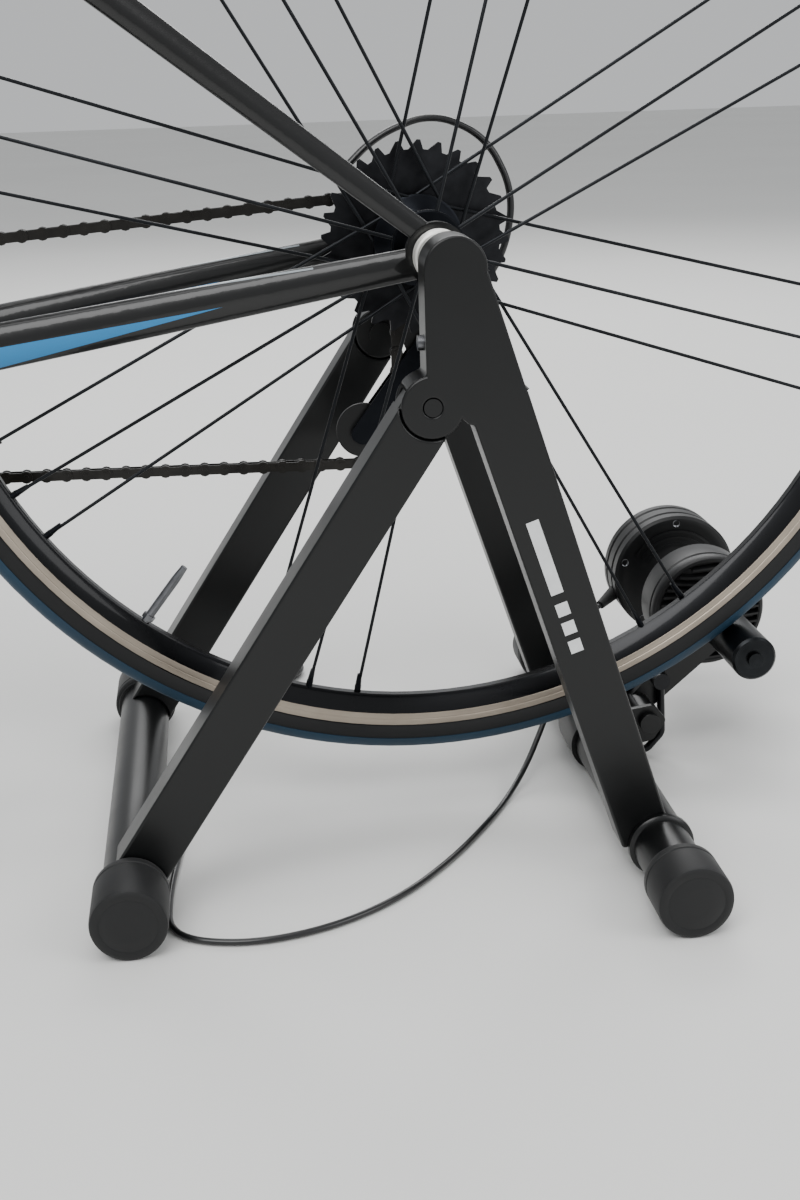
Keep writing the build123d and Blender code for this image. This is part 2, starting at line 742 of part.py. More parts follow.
# remote cable: its gland, its tube on the floor, its coil and the hand lever
cable_r = 2.0
gland_dir = Vector(-0.75, -0.58, -0.32).normalized()
gland_start = roller_point + Vector(-0.94, 0, -0.34) * (disc_r - 5) + Vector(0, disc_face_y + 18, 0)
gland_end = gland_start + gland_dir * 24
with BuildPart() as cable_gland:
    with BuildSketch(Plane(origin=gland_start, z_dir=gland_dir)):
        Circle(6)
    with BuildSketch(Plane(origin=gland_end, z_dir=gland_dir)):
        Circle(3.4)
    loft()
    add(disc(roller_point, disc_face_y - 1, disc_back + 1, disc_r), mode=Mode.SUBTRACT)
save(cable_gland.part, "cable_gland")

floor_z = cable_r + 0.05
cable_points = [gland_end, gland_end + gland_dir * 23]
cable_points += [Vector(rear_x + x, y, z) for x, y, z in (
    (128, 112, 57), (112, 84, 50), (97, 56, 41), (82, 30, 27), (66, 5, 11), (47, -24, floor_z),
    (28, -56, floor_z), (-4, -102, floor_z), (-42, -143, floor_z), (-86, -169, floor_z), (-134, -178, floor_z),
    (-177, -163, floor_z), (-178, -115, floor_z), (-172, -60, floor_z), (-165, -4, floor_z),
    (-156, 52, floor_z), (-146, 104, floor_z), (-136, 155, floor_z), (-123, 199, floor_z), (-116, 240, floor_z),
)]


def route_radii(points):
    radii = []
    for i in range(1, len(points) - 1):
        before = points[i] - points[i - 1]
        after = points[i + 1] - points[i]
        turn = math.radians(before.get_angle(after))
        radii.append(0.45 * min(before.length, after.length) / math.tan(turn / 2))
    return radii


cable_radii = route_radii(cable_points)
print("remote cable radii", [round(r, 1) for r in cable_radii])
with BuildPart() as remote_cable:
    with BuildLine() as cable_line:
        FilletPolyline(*cable_points, radius=cable_radii)
    with BuildSketch(Plane(origin=cable_points[0], z_dir=cable_points[1] - cable_points[0])):
        Circle(cable_r)
    sweep()
cable_length = cable_line.wires()[0].length
volume_ratio = remote_cable.part.volume / (math.pi * cable_r**2 * cable_length)
print("remote cable length", round(cable_length, 1), "volume ratio", round(volume_ratio, 4))
save(remote_cable.part, "remote_cable")

coil_r = 20.0
coil_end = cable_points[-1]
coil_heading = (cable_points[-1] - cable_points[-2]).normalized()
coil_centre = Vector(coil_end.X + coil_heading.Y * coil_r, coil_end.Y - coil_heading.X * coil_r, 0)
with BuildPart() as remote_coil:
    with BuildSketch(Plane.XY):
        with Locations((coil_centre.X, coil_centre.Y)):
            Circle(coil_r + 2 * cable_r)
            Circle(coil_r - 2 * cable_r, mode=Mode.SUBTRACT)
    extrude(amount=5 * cable_r)
    add(remote_cable.part, mode=Mode.SUBTRACT)
save(remote_coil.part.solids().sort_by(SortBy.VOLUME)[-1], "remote_coil")

lever_low = 5 * cable_r
with BuildPart() as remote_lever:
    with BuildSketch(Plane.XY.offset(lever_low)):
        with Locations((coil_centre.X, coil_centre.Y)):
            RectangleRounded(26, 44, 6)
    extrude(amount=12)
    with BuildSketch(Plane.XY.offset(lever_low + 12)):
        with Locations((coil_centre.X, coil_centre.Y)):
            SlotOverall(36, 12, rotation=90)
    extrude(amount=5)
    fillet(remote_lever.faces().sort_by(Axis.Z)[-1].edges(), 1.5)
save(remote_lever.part, "remote_lever")

# bent rod that locks the roller against the tyre
rod_wire_r = 2.75
rod_points = [
    at_rear_foot(49, 31, rod_y),
    at_rear_foot(50.5, -6, rod_y),
    at_rear_foot(40, -18, rod_y),
    at_rear_foot(26, -19, rod_y),
]
with BuildPart() as tension_rod:
    with BuildLine():
        FilletPolyline(*rod_points, radius=[8, 8])
    with BuildSketch(Plane(origin=rod_points[0], z_dir=rod_points[1] - rod_points[0])):
        Circle(rod_wire_r)
    sweep()
    add(disc(rod_pivot, rod_y - 3.5, rod_y + 3.5, 6))
    add(disc(rod_pivot, rod_y - 3.6, yoke_y + yoke_thick, rod_hole_r - run_fit))
save(tension_rod.part, "tension_rod")


# drive train
def toothed(centre, y_mid, half_thick, teeth, inner):
    """A sprocket with straight-sided teeth and a round hole."""
    root, tip = pitch_radius(teeth) - 3.6, pitch_radius(teeth) + 2.0
    outline = []
    for tooth in range(teeth):
        for part_turn, r in ((0.0, root), (0.25, root), (0.42, tip), (0.58, tip)):
            a = 2 * math.pi * (tooth + part_turn + 0.25) / teeth
            outline.append((centre.X + r * math.cos(a), -centre.Z - r * math.sin(a)))
    with BuildPart() as made:
        with BuildSketch(side_plane(y_mid - half_thick)):
            with BuildLine():
                Polyline(outline, close=True)
            make_face()
            with Locations((centre.X, -centre.Z)):
                Circle(inner, mode=Mode.SUBTRACT)
        extrude(amount=2 * half_thick)
    return made.part


mesh_gap = chain_half_height + clear
freehub_r = 16.0
cassette_inner_y = chain_y - cog_counts.index(cog_teeth) * cog_pitch
with BuildPart() as cassette:
    cassette_end = cassette_inner_y + (len(cog_counts) - 1) * cog_pitch + 3.0
    add(disc(rear_axle, cassette_inner_y - 2.4, cassette_end, freehub_r))
    for number, teeth in enumerate(cog_counts):
        cog_y = cassette_inner_y + number * cog_pitch
        if teeth == cog_teeth:
            cog_r = pitch_radius(teeth) - mesh_gap
            add(disc(rear_axle, cog_y - cog_half_thick, cog_y + cog_half_thick, cog_r))
        else:
            add(toothed(rear_axle, cog_y, cog_half_thick, teeth, 10))
    add(disc(rear_axle, cassette_inner_y - 3, cassette_end + 1, hub_axle_r + run_fit), mode=Mode.SUBTRACT)
save(cassette.part, "cassette")

big_ring_y = chain_y + 7.0
bolt_circle_r = 55.0
ring_hole_r = 49.0
crank_low_y = chain_y + 12.5
crank_thick = 13.0
with BuildPart() as chainrings:
    add(toothed(bb, big_ring_y, 1.5, big_ring_teeth, ring_hole_r))
    add(disc(bb, big_ring_y - 1.5, big_ring_y + 1.5, 82, 62), mode=Mode.SUBTRACT)
    for arm in range(5):
        a = 2 * math.pi * arm / 5 + 0.3
        arm_mid = Vector(bb.X + 72 * math.cos(a), 0, bb.Z + 72 * math.sin(a))
        add(disc(arm_mid, big_ring_y - 1.5, big_ring_y + 1.5, 12))
        bolt = Vector(bb.X + bolt_circle_r * math.cos(a), 0, bb.Z + bolt_circle_r * math.sin(a))
        add(disc(bolt, chain_y - 2.5, crank_low_y, 5))
    add(disc(bb, chain_y - 1.2, chain_y + 1.2, pitch_radius(ring_teeth) - mesh_gap, ring_hole_r))
save(chainrings.part, "chainrings")

crank_angle = 90.0
spindle_end = crank_low_y + crank_thick


def crank_arm(angle_deg, low, high):
    a = math.radians(angle_deg)
    tip = Vector(bb.X + crank_length * math.cos(a), 0, bb.Z + crank_length * math.sin(a))
    square = Vector(-math.sin(a), 0, math.cos(a))
    with BuildPart() as made:
        add(disc(bb, low, high, 20))
        add(disc(tip, low, high, 13))
        add(plate([bb + square * 15, bb - square * 15, tip - square * 11, tip + square * 11], low, high))
    return made.part, tip


pedal_axle_r = 5.0
right_arm, right_tip = crank_arm(crank_angle, crank_low_y, spindle_end)
with BuildPart() as crank_right:
    add(right_arm)
    for arm in range(5):
        a = 2 * math.pi * arm / 5 + 0.3
        bolt = Vector(bb.X + (bolt_circle_r + 2) * math.cos(a), 0, bb.Z + (bolt_circle_r + 2) * math.sin(a))
        square = Vector(-math.sin(a), 0, math.cos(a)) * 7
        add(plate([bb + square * 1.6, bb - square * 1.6, bolt - square, bolt + square], crank_low_y, crank_low_y + 6))
    add(disc(bb, -spindle_end + 2, spindle_end - 1, crank_axle_r))
    add(disc(right_tip, crank_low_y - 1, spindle_end + 1, pedal_axle_r), mode=Mode.SUBTRACT)

left_arm, left_tip = crank_arm(crank_angle + 180, -spindle_end, -crank_low_y + 5)
with BuildPart() as crank_left:
    add(left_arm)
    add(disc(bb, -spindle_end - 1, -crank_low_y + 9, crank_axle_r), mode=Mode.SUBTRACT)
    add(disc(left_tip, -spindle_end - 1, -crank_low_y + 9, pedal_axle_r), mode=Mode.SUBTRACT)


def pedal_parts(tip, side):
    """A pedal body turning on an axle that screws into the crank."""
    root = side * (crank_low_y + 1)
    start = side * (spindle_end + 4)
    end = side * (spindle_end + 88)
    axle = disc(tip, min(root, side * (spindle_end + 80)), max(root, side * (spindle_end + 80)), pedal_axle_r)
    low, high = min(start, end), max(start, end)
    with BuildPart() as body:
        add(plate([tip + Vector(-46, 0, -7), tip + Vector(42, 0, -7), tip + Vector(42, 0, 7), tip + Vector(-46, 0, 7)],
                  low, high, 4))
        window_low, window_high = sorted((side * (spindle_end + 18), side * (spindle_end + 74)))
        for x in (-26, 24):
            with BuildSketch(Plane(origin=tip + Vector(x, (window_low + window_high) / 2, -20), z_dir=(0, 0, 1))):
                RectangleRounded(22, window_high - window_low, 4)
            extrude(amount=40, mode=Mode.SUBTRACT)
        bore_low, bore_high = sorted((side * (spindle_end + 3), side * (spindle_end + 81)))
        add(disc(tip, bore_low, bore_high, pedal_axle_r + run_fit), mode=Mode.SUBTRACT)
    return axle, body.part


right_axle, right_pedal = pedal_parts(right_tip, 1)
left_axle, left_pedal = pedal_parts(left_tip, -1)
save(right_pedal, "pedal_right")
save(left_pedal, "pedal_left")
save(Compound(children=[crank_right.part, right_axle]), "crank_right")
save(Compound(children=[crank_left.part, left_axle]), "crank_left")

# derailleur, its cage and its two jockey wheels
upper_jockey = stand(12, -66)
lower_jockey = stand(-34, -126)
cage_low_y = chain_y - chain_half_width - 1.6
cage_high_y = chain_y + chain_half_width + 1.6
cage_dir = (lower_jockey - upper_jockey).normalized()
cage_side = Vector(-cage_dir.Z, 0, cage_dir.X)
jockey_bolt_r = 2.4
with BuildPart() as derailleur_cage:
    for low, high in ((cage_low_y - 1, cage_low_y + 0.4), (cage_high_y - 0.4, cage_high_y + 1)):
        outline = [
            upper_jockey - cage_dir * 8 + cage_side * 7,
            upper_jockey - cage_dir * 8 - cage_side * 7,
            lower_jockey + cage_dir * 9 - cage_side * 7,
            lower_jockey + cage_dir * 9 + cage_side * 7,
        ]
        add(plate(outline, low, high, 6))
    for jockey in (upper_jockey, lower_jockey):
        add(disc(jockey, cage_low_y - 1, cage_high_y + 1, jockey_bolt_r))
    add(disc(upper_jockey, cage_high_y, cage_high_y + 5, 9))
save(derailleur_cage.part, "derailleur_cage")

jockey_r = pitch_radius(jockey_teeth) - mesh_gap
for name, jockey in (("jockey_upper", upper_jockey), ("jockey_lower", lower_jockey)):
    with BuildPart() as jockey_wheel:
        add(disc(jockey, chain_y - 1.2, chain_y + 1.2, jockey_r, jockey_bolt_r + run_fit))
        add(disc(jockey, cage_low_y + 0.6, cage_high_y - 0.6, 6, jockey_bolt_r + run_fit))
    save(jockey_wheel.part, name)

hanger_point = stand(11, -28)
knuckle_low = cage_high_y + 5 + clear
with BuildPart() as rear_derailleur:
    add(disc(hanger_point, drop_half + drop_thick, drop_half + drop_thick + 12, 10))
    add(disc(upper_jockey, knuckle_low, knuckle_low + 14, 12))
    link_low = drop_half + drop_thick + 1
    link = [stand(24, -30), stand(40, -48), stand(30, -74), stand(8, -74), stand(0, -60), stand(2, -28)]
    add(plate(link, link_low, link_low + 9, 5))
    add(disc(upper_jockey, knuckle_low, link_low + 6, 12))
save(rear_derailleur.part, "rear_derailleur")


# chain: one closed band round both rings and both jockey wheels
def tangent(first, r_first, second, r_second):
    """The straight run that leaves one circle and meets the next; r is signed by the way it turns."""
    dx, dz = second.X - first.X, second.Z - first.Z
    gap = math.hypot(dx, dz)
    lean = math.asin((r_second - r_first) / gap)
    base = math.atan2(dz, dx)
    nx, nz = -math.sin(base + lean), math.cos(base + lean)
    start = Vector(first.X + nx * r_first, 0, first.Z + nz * r_first)
    end = Vector(second.X + nx * r_second, 0, second.Z + nz * r_second)
    return start, end


def chain_face(offset):
    """The chain's line moved sideways by an offset, as a closed wire of runs and arcs."""
    wheels = [
        (bb, pitch_radius(ring_teeth)),
        (rear_axle, pitch_radius(cog_teeth)),
        (upper_jockey, -pitch_radius(jockey_teeth)),
        (lower_jockey, pitch_radius(jockey_teeth)),
    ]
    turned = [(centre, r + offset) for centre, r in wheels]
    runs = [tangent(*turned[i], *turned[(i + 1) % 4]) for i in range(4)]
    with BuildLine() as path:
        for i in range(4):
            Line(flat(runs[i][0]), flat(runs[i][1]))
            centre, r = turned[(i + 1) % 4]
            start, end = runs[i][1], runs[(i + 1) % 4][0]
            a0 = math.atan2(start.Z - centre.Z, start.X - centre.X)
            a1 = math.atan2(end.Z - centre.Z, end.X - centre.X)
            sweep_angle = (a0 - a1) % (2 * math.pi) if r > 0 else -((a1 - a0) % (2 * math.pi))
            middle = a0 - sweep_angle / 2
            mid_point = Vector(centre.X + abs(r) * math.cos(middle), 0, centre.Z + abs(r) * math.sin(middle))
            ThreePointArc(flat(start), flat(mid_point), flat(end))
    return path.line


with BuildPart() as chain:
    with BuildSketch(side_plane(chain_y - chain_half_width)):
        add(chain_face(chain_half_height))
        make_face()
    extrude(amount=2 * chain_half_width)
    with BuildSketch(side_plane(chain_y - chain_half_width)):
        add(chain_face(-chain_half_height))
        make_face()
    extrude(amount=2 * chain_half_width, mode=Mode.SUBTRACT)
save(chain.part, "chain")

# front derailleur
with BuildPart() as front_derailleur:
    with BuildSketch(Plane(origin=on_seat_tube(112), z_dir=on_seat_tube(1) - on_seat_tube(0))):
        Circle(seat_tube_r + 4)
        Circle(seat_tube_r, mode=Mode.SUBTRACT)
    extrude(amount=14)
    cage = [on_seat_tube(120) + Vector(-44, 0, -14), on_seat_tube(120) + Vector(34, 0, -8)]
    cage += [on_seat_tube(120) + Vector(30, 0, 12), on_seat_tube(120) + Vector(-38, 0, 10)]
    add(plate(cage, chain_y - 8, chain_y - 6.5))
    add(plate(cage, chain_y + 10.2, chain_y + 11.7))
    bridge = [on_seat_tube(120) + Vector(-20, 0, 4), on_seat_tube(120) + Vector(14, 0, 4)]
    bridge += [on_seat_tube(120) + Vector(14, 0, 9), on_seat_tube(120) + Vector(-20, 0, 9)]
    add(plate(bridge, seat_tube_r - 2, chain_y + 11))
    add(rod(on_seat_tube(90), on_seat_tube(150), seat_tube_r), mode=Mode.SUBTRACT)
save(front_derailleur.part, "front_derailleur")

# gear cable: a loop of housing from the chainstay to the derailleur
housing_r = 2.4
loop_y = drop_half + drop_thick + 13
loop_points = [
    stand(-42, 34, loop_y + 2),
    stand(-16, 58, loop_y + 6),
    stand(22, 72, loop_y + 9),
    stand(58, 56, loop_y + 9),
    stand(76, 20, loop_y + 8),
    stand(70, -18, loop_y + 5),
    stand(46, -50, loop_y + 1),
]
with BuildPart() as gear_cable_loop:
    with BuildLine():
        FilletPolyline(*loop_points, radius=route_radii(loop_points))
    with BuildSketch(Plane(origin=loop_points[0], z_dir=loop_points[1] - loop_points[0])):
        Circle(housing_r)
    sweep()
save(gear_cable_loop.part, "gear_cable_loop")

# fork, bars and brakes
with BuildPart() as fork:
    add(rod(on_steering(crown_along - 4), on_steering(head_low + head_length + 32), steerer_r))
    add(oval(on_steering(crown_along - 26), on_steering(crown_along + 3 - 0.4), (76, 30), (44, 42)))
    for side in (-1, 1):
        top = on_steering(crown_along - 14, side * 29)
        blade_low = front_axle + Vector(0, side * (front_drop_half + 4), 0)
        add(oval(blade_low, top, (8, 14), (17, 32)))
        low, high = sorted((side * front_drop_half, side * (front_drop_half + 7)))
        add(disc(front_axle, low, high, 11))
        cleaner_low = min(side * (front_drop_half - 8), side * front_drop_half)
        add(disc(front_axle, cleaner_low, cleaner_low + 8, 20), mode=Mode.SUBTRACT)
        cleaner_low = min(side * (front_drop_half + 7), side * (front_drop_half + 15))
        add(disc(front_axle, cleaner_low, cleaner_low + 8, 20), mode=Mode.SUBTRACT)
    tyre_room = disc(front_axle, -tyre_half - 6, tyre_half + 6, wheel_r + 5)
    add(tyre_room, mode=Mode.SUBTRACT)
    add(disc(front_axle, -70, 70, skewer_r), mode=Mode.SUBTRACT)
with BuildPart() as front_skewer:
    add(disc(front_axle, -front_drop_half - 16, front_drop_half + 16, skewer_r))
    for side in (-1, 1):
        low, high = sorted((side * (front_drop_half + 7), side * (front_drop_half + 17)))
        add(disc(front_axle, low, high, 8))


def brake_parts(bolt, out, down, reach, bolt_start):
    """Two curved caliper arms with their blocks, on one bolt through the frame or fork."""
    pieces = []
    for side in (-1, 1):
        layer = 15 if side > 0 else 25
        points = [
            bolt + out * layer + Vector(0, side * -4, 0),
            bolt + out * layer + Vector(0, side * 22, 0) - down * 2,
            bolt + out * layer + Vector(0, side * 31, 0) + down * 15,
            bolt + out * layer + Vector(0, side * 20, 0) + down * (reach + 5),
        ]
        with BuildPart() as arm:
            with BuildLine():
                FilletPolyline(*points, radius=[8, 12])
            with BuildSketch(Plane(origin=points[0], z_dir=points[1] - points[0])):
                Circle(4.4)
            sweep()
            add(rod(bolt + out * (layer - 4.8), bolt + out * (layer + 4.8), 8))
            block = bolt + down * reach + Vector(0, side * (rim_half + 5), 0)
            with BuildSketch(Plane(origin=block - Vector(0, side * 4, 0), x_dir=out, z_dir=(0, side, 0))):
                RectangleRounded(56, 9, 3)
            extrude(amount=8)
            add(rod(bolt, bolt + out * 40, brake_bolt_r), mode=Mode.SUBTRACT)
        pieces.append(arm.part)
    pieces.append(rod(bolt - out * bolt_start, bolt + out * 33, brake_bolt_r))
    return pieces


rear_reach = (rear_bolt - rear_axle).length - (rim_outer_r - 5)
save(Compound(children=brake_parts(rear_bolt, rear_brake_out, -stay_axis, rear_reach, 9)), "rear_brake")

front_bolt = on_steering(crown_along - 8)
steer_axis = (on_steering(1) - on_steering(0)).normalized()
front_brake_out = Vector(-steer_axis.Z, 0, steer_axis.X)
front_reach = (front_bolt - front_axle).length - (rim_outer_r - 5)
with BuildPart() as fork_crown:
    add(fork.part)
    add(rod(front_bolt - front_brake_out * 4, front_bolt + front_brake_out * 60, brake_bolt_r), mode=Mode.SUBTRACT)
fork_set = [fork_crown.part, front_skewer.part]
fork_set += brake_parts(front_bolt + front_brake_out * 12, front_brake_out, -steer_axis, front_reach, 16)
save(Compound(children=fork_set), "fork")

stem_along = head_low + head_length + 14
bar_centre = on_steering(stem_along + 4, 0, stem_length)
with BuildPart() as stem:
    add(rod(on_steering(stem_along - 13), on_steering(stem_along + 22), 19))
    add(oval(on_steering(stem_along + 2), bar_centre, (30, 28), (30, 30)))
    add(disc(bar_centre, -24, 24, 21))
    add(rod(on_steering(stem_along - 30), on_steering(stem_along + 19), steerer_r), mode=Mode.SUBTRACT)
    add(disc(bar_centre, -30, 30, bar_r + 3.9), mode=Mode.SUBTRACT)
save(stem.part, "stem")

with BuildPart() as handlebar:
    add(disc(bar_centre, -24, 24, bar_r + 3.9))
    for side in (-1, 1):
        points = [
            bar_centre + Vector(0, side * 20, 0),
            bar_centre + Vector(0, side * bar_half, 0),
            bar_centre + Vector(-bar_reach, side * bar_half, -6),
            bar_centre + Vector(-bar_reach - 6, side * bar_half, -bar_drop * 0.75),
            bar_centre + Vector(-bar_reach * 0.5, side * bar_half, -bar_drop),
            bar_centre + Vector(46, side * bar_half, -bar_drop - 4),
        ]
        with BuildLine():
            FilletPolyline(*points, radius=[34, 34, 34, 34])
        with BuildSketch(Plane(origin=points[0], z_dir=points[1] - points[0])):
            Circle(bar_r)
        sweep()
save(handlebar.part, "handlebar")

hood_parts = []
lever_pivots = {}
for side in (-1, 1):
    hood_mid = bar_centre + Vector(-bar_reach - 30, side * bar_half, 12)
    with BuildPart() as hood:
        outline = [
            hood_mid + Vector(36, 0, -14),
            hood_mid + Vector(30, 0, 10),
            hood_mid + Vector(-20, 0, 14),
            hood_mid + Vector(-34, 0, 34),
            hood_mid + Vector(-50, 0, 30),
            hood_mid + Vector(-46, 0, 0),
            hood_mid + Vector(-26, 0, -26),
            hood_mid + Vector(14, 0, -26),
        ]
        add(plate(outline, side * bar_half - 12, side * bar_half + 12, 6))
        add(handlebar.part, mode=Mode.SUBTRACT)
        lever_slot = [
            hood_mid + Vector(-70, 0, 6),
            hood_mid + Vector(-70, 0, -60),
            hood_mid + Vector(-10, 0, -60),
            hood_mid + Vector(-22, 0, -12),
            hood_mid + Vector(-30, 0, 6),
        ]
        add(plate(lever_slot, side * bar_half - 6, side * bar_half + 6), mode=Mode.SUBTRACT)
    hood_solid = hood.part.solids().sort_by(SortBy.VOLUME)[-1]
    hood_parts.append(hood_solid)
    pivot = hood_mid + Vector(-38, 0, -2)
    lever_pivots[side] = pivot
    name = "brake_lever_left" if side < 0 else "brake_lever_right"
    with BuildPart() as brake_lever:
        with BuildLine():
            FilletPolyline(
                pivot, pivot + Vector(-4, 0, -34), pivot + Vector(8, 0, -74), pivot + Vector(2, 0, -104), radius=20
            )
        with BuildSketch(Plane(origin=pivot, x_dir=(0, 1, 0), z_dir=(-4, 0, -34))):
            RectangleRounded(10, 6, 2)
        sweep()
        add(disc(pivot, side * bar_half - 5, side * bar_half + 5, 5.5))
        add(disc(pivot, side * bar_half - 8, side * bar_half + 8, 2 + run_fit), mode=Mode.SUBTRACT)
    save(brake_lever.part, name)
    hood_parts.append(disc(pivot, side * bar_half - 11.5, side * bar_half + 11.5, 2))
hood_pins = [hood_parts[1], hood_parts[3]]
hood_shells = []
for shell, pin in ((hood_parts[0], hood_pins[0]), (hood_parts[2], hood_pins[1])):
    with BuildPart() as drilled:
        add(shell)
        add(pin, mode=Mode.SUBTRACT)
    hood_shells.append(drilled.part.solids().sort_by(SortBy.VOLUME)[-1])
save(Compound(children=hood_shells + hood_pins), "shifter_hoods")
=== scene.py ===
import bpy
import bmesh
import json
import math
from mathutils import Matrix, Vector


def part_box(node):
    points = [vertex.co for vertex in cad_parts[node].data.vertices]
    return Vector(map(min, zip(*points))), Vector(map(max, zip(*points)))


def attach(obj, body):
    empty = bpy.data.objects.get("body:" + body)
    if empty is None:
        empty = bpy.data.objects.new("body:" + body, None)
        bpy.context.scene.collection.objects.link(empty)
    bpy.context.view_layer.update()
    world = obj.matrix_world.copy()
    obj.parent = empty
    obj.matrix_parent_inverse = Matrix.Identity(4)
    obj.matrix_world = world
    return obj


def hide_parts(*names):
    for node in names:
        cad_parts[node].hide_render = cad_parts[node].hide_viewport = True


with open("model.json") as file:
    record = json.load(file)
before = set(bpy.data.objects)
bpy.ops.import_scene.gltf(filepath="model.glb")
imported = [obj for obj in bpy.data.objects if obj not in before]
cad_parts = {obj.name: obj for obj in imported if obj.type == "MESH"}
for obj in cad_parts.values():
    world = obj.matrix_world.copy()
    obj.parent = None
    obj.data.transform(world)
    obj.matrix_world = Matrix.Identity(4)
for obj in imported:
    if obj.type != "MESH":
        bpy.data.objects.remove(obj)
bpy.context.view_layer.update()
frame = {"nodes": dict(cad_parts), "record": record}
nodes = frame["nodes"]
mm = 0.001
acrossAxis = Vector((0, 1, 0))
print("frame loaded:", len(nodes), "nodes")


def centreLine(name):  # where a round node's axle line crosses the middle plane
    low, high = (Vector(corner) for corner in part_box(name))
    centre = (low + high) / 2
    return Vector((centre.x, 0, centre.z))


def high(name, axis):  # a node's highest place along an axis, in mm
    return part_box(name)[1][axis] / mm


jointPlace = {}
for joint in frame["record"]["behaviour"]["joints"]:  # where each joint's axis crosses the middle plane
    if joint["type"] == "hinge":
        x, y, z = joint["pos_m"]
        jointPlace[joint["name"]] = Vector((x, 0, z))
rearAxle = jointPlace["rear_wheel_spin"]
frontAxle = jointPlace["front_wheel_spin"]
crankAxle = jointPlace["crank_spin"]
rollerAxle = jointPlace["roller_spin"]
rearFoot = centreLine("rear_foot_bar")
frontFoot = centreLine("front_foot_bar")


def fromAxle(x, z, y=0.0):  # mm, level directions, counted from the rear axle
    return Vector((rearAxle.x + x * mm, y * mm, rearAxle.z + z * mm))


def hexColour(code):
    parts = [int(code[i:i + 2], 16) / 255 for i in (1, 3, 5)]
    linear = [p / 12.92 if p <= 0.04045 else ((p + 0.055) / 1.055) ** 2.4 for p in parts]
    return (*linear, 1.0)


def addNode(tree, kind, settings={}, values={}, links={}, feeds={}):
    node = tree.nodes.new(kind)
    for name, value in settings.items():
        setattr(node, name, value)
    for name, value in values.items():
        node.inputs[name].default_value = value
    for name, (source, output) in links.items():
        tree.links.new(source.outputs[output], node.inputs[name])
    for output, (target, name) in feeds.items():
        tree.links.new(node.outputs[output], target.inputs[name])
    return node


def newMaterial(name, metallic=0.0, coat=0.0, coatRoughness=0.08, specular=0.5, sheen=0.0):
    material = bpy.data.materials.new(name)
    material.use_nodes = True
    tree = material.node_tree
    tree.nodes.clear()
    shader = addNode(tree, "ShaderNodeBsdfPrincipled", values={
        "Metallic": metallic, "Coat Weight": coat, "Coat Roughness": coatRoughness,
        "Specular IOR Level": specular, "Sheen Weight": sheen})
    addNode(tree, "ShaderNodeOutputMaterial", links={"Surface": (shader, "BSDF")})
    place = addNode(tree, "ShaderNodeTexCoord")
    return material, tree, shader, place


def layFinish(made, look):
    # blotches carry the colour and shine changes, a fine grain carries the relief; sizes in mm
    material, tree, shader, place = made
    blotch = addNode(tree, "ShaderNodeTexNoise", values={"Scale": 1000 / look["blotchMm"], "Detail": 4.0},
                     links={"Vector": (place, "Object")})
    addNode(tree, "ShaderNodeMix", {"data_type": "RGBA"},
            {6: hexColour(look["dark"]), 7: hexColour(look["light"])}, {0: (blotch, "Fac")},
            {2: (shader, "Base Color")})
    addNode(tree, "ShaderNodeMapRange", values={"To Min": look["rough"][0], "To Max": look["rough"][1]},
            links={"Value": (blotch, "Fac")}, feeds={"Result": (shader, "Roughness")})
    grain = addNode(tree, "ShaderNodeTexNoise", values={"Scale": 1000 / look["grainMm"], "Detail": 2.0},
                    links={"Vector": (place, "Object")})
    addNode(tree, "ShaderNodeBump", values={"Strength": look["relief"], "Distance": look["depthMm"] * mm},
            links={"Height": (grain, "Fac")}, feeds={"Normal": (shader, "Normal")})
    return material


# polyester powder baked on steel: near black, low orange-peel shine, softer where hands and shoes rub
standPaint = layFinish(newMaterial("powderCoatedSteel", specular=0.38), {
    "dark": "#040505", "light": "#0c0d0e", "blotchMm": 45, "rough": (0.26, 0.42),
    "grainMm": 2.2, "depthMm": 0.05, "relief": 0.35})
# compression-moulded EPDM: matt, sandy, greyer where scuffed
capRubber = layFinish(newMaterial("mouldedEpdmRubber", specular=0.4, sheen=0.05), {
    "dark": "#070708", "light": "#121314", "blotchMm": 26, "rough": (0.48, 0.7),
    "grainMm": 0.9, "depthMm": 0.12, "relief": 0.4})
# moulded thermoplastic rubber of the brake hoods: soft, with a raised pebble grain
hoodRubber = layFinish(newMaterial("pebbledHoodRubber", specular=0.4, sheen=0.08), {
    "dark": "#0e0f10", "light": "#1c1d20", "blotchMm": 30, "rough": (0.52, 0.72),
    "grainMm": 1.6, "depthMm": 0.3, "relief": 0.6})
# glass-filled nylon moulding: satin, even leathery grain
unitPlastic = layFinish(newMaterial("mouldedGlassFilledNylon", specular=0.4), {
    "dark": "#050506", "light": "#0e0f10", "blotchMm": 30, "rough": (0.34, 0.52),
    "grainMm": 0.8, "depthMm": 0.08, "relief": 0.4})
# injection-moulded ABS: even satin, almost no grain
leverPlastic = layFinish(newMaterial("mouldedAbs"), {
    "dark": "#0f1012", "light": "#1b1d1f", "blotchMm": 20, "rough": (0.36, 0.5),
    "grainMm": 0.6, "depthMm": 0.05, "relief": 0.35})
# extruded PVC outer: smooth and shiny with faint draw marks
cableOuter = layFinish(newMaterial("extrudedPvcOuter", coat=0.2), {
    "dark": "#070809", "light": "#131416", "blotchMm": 12, "rough": (0.24, 0.4),
    "grainMm": 5, "depthMm": 0.05, "relief": 0.2})
# anodised aluminium: dark, dry shine
blackAlloy = layFinish(newMaterial("anodisedBlackAluminium", metallic=1.0), {
    "dark": "#101114", "light": "#232529", "blotchMm": 18, "rough": (0.26, 0.42),
    "grainMm": 0.8, "depthMm": 0.03, "relief": 0.3})
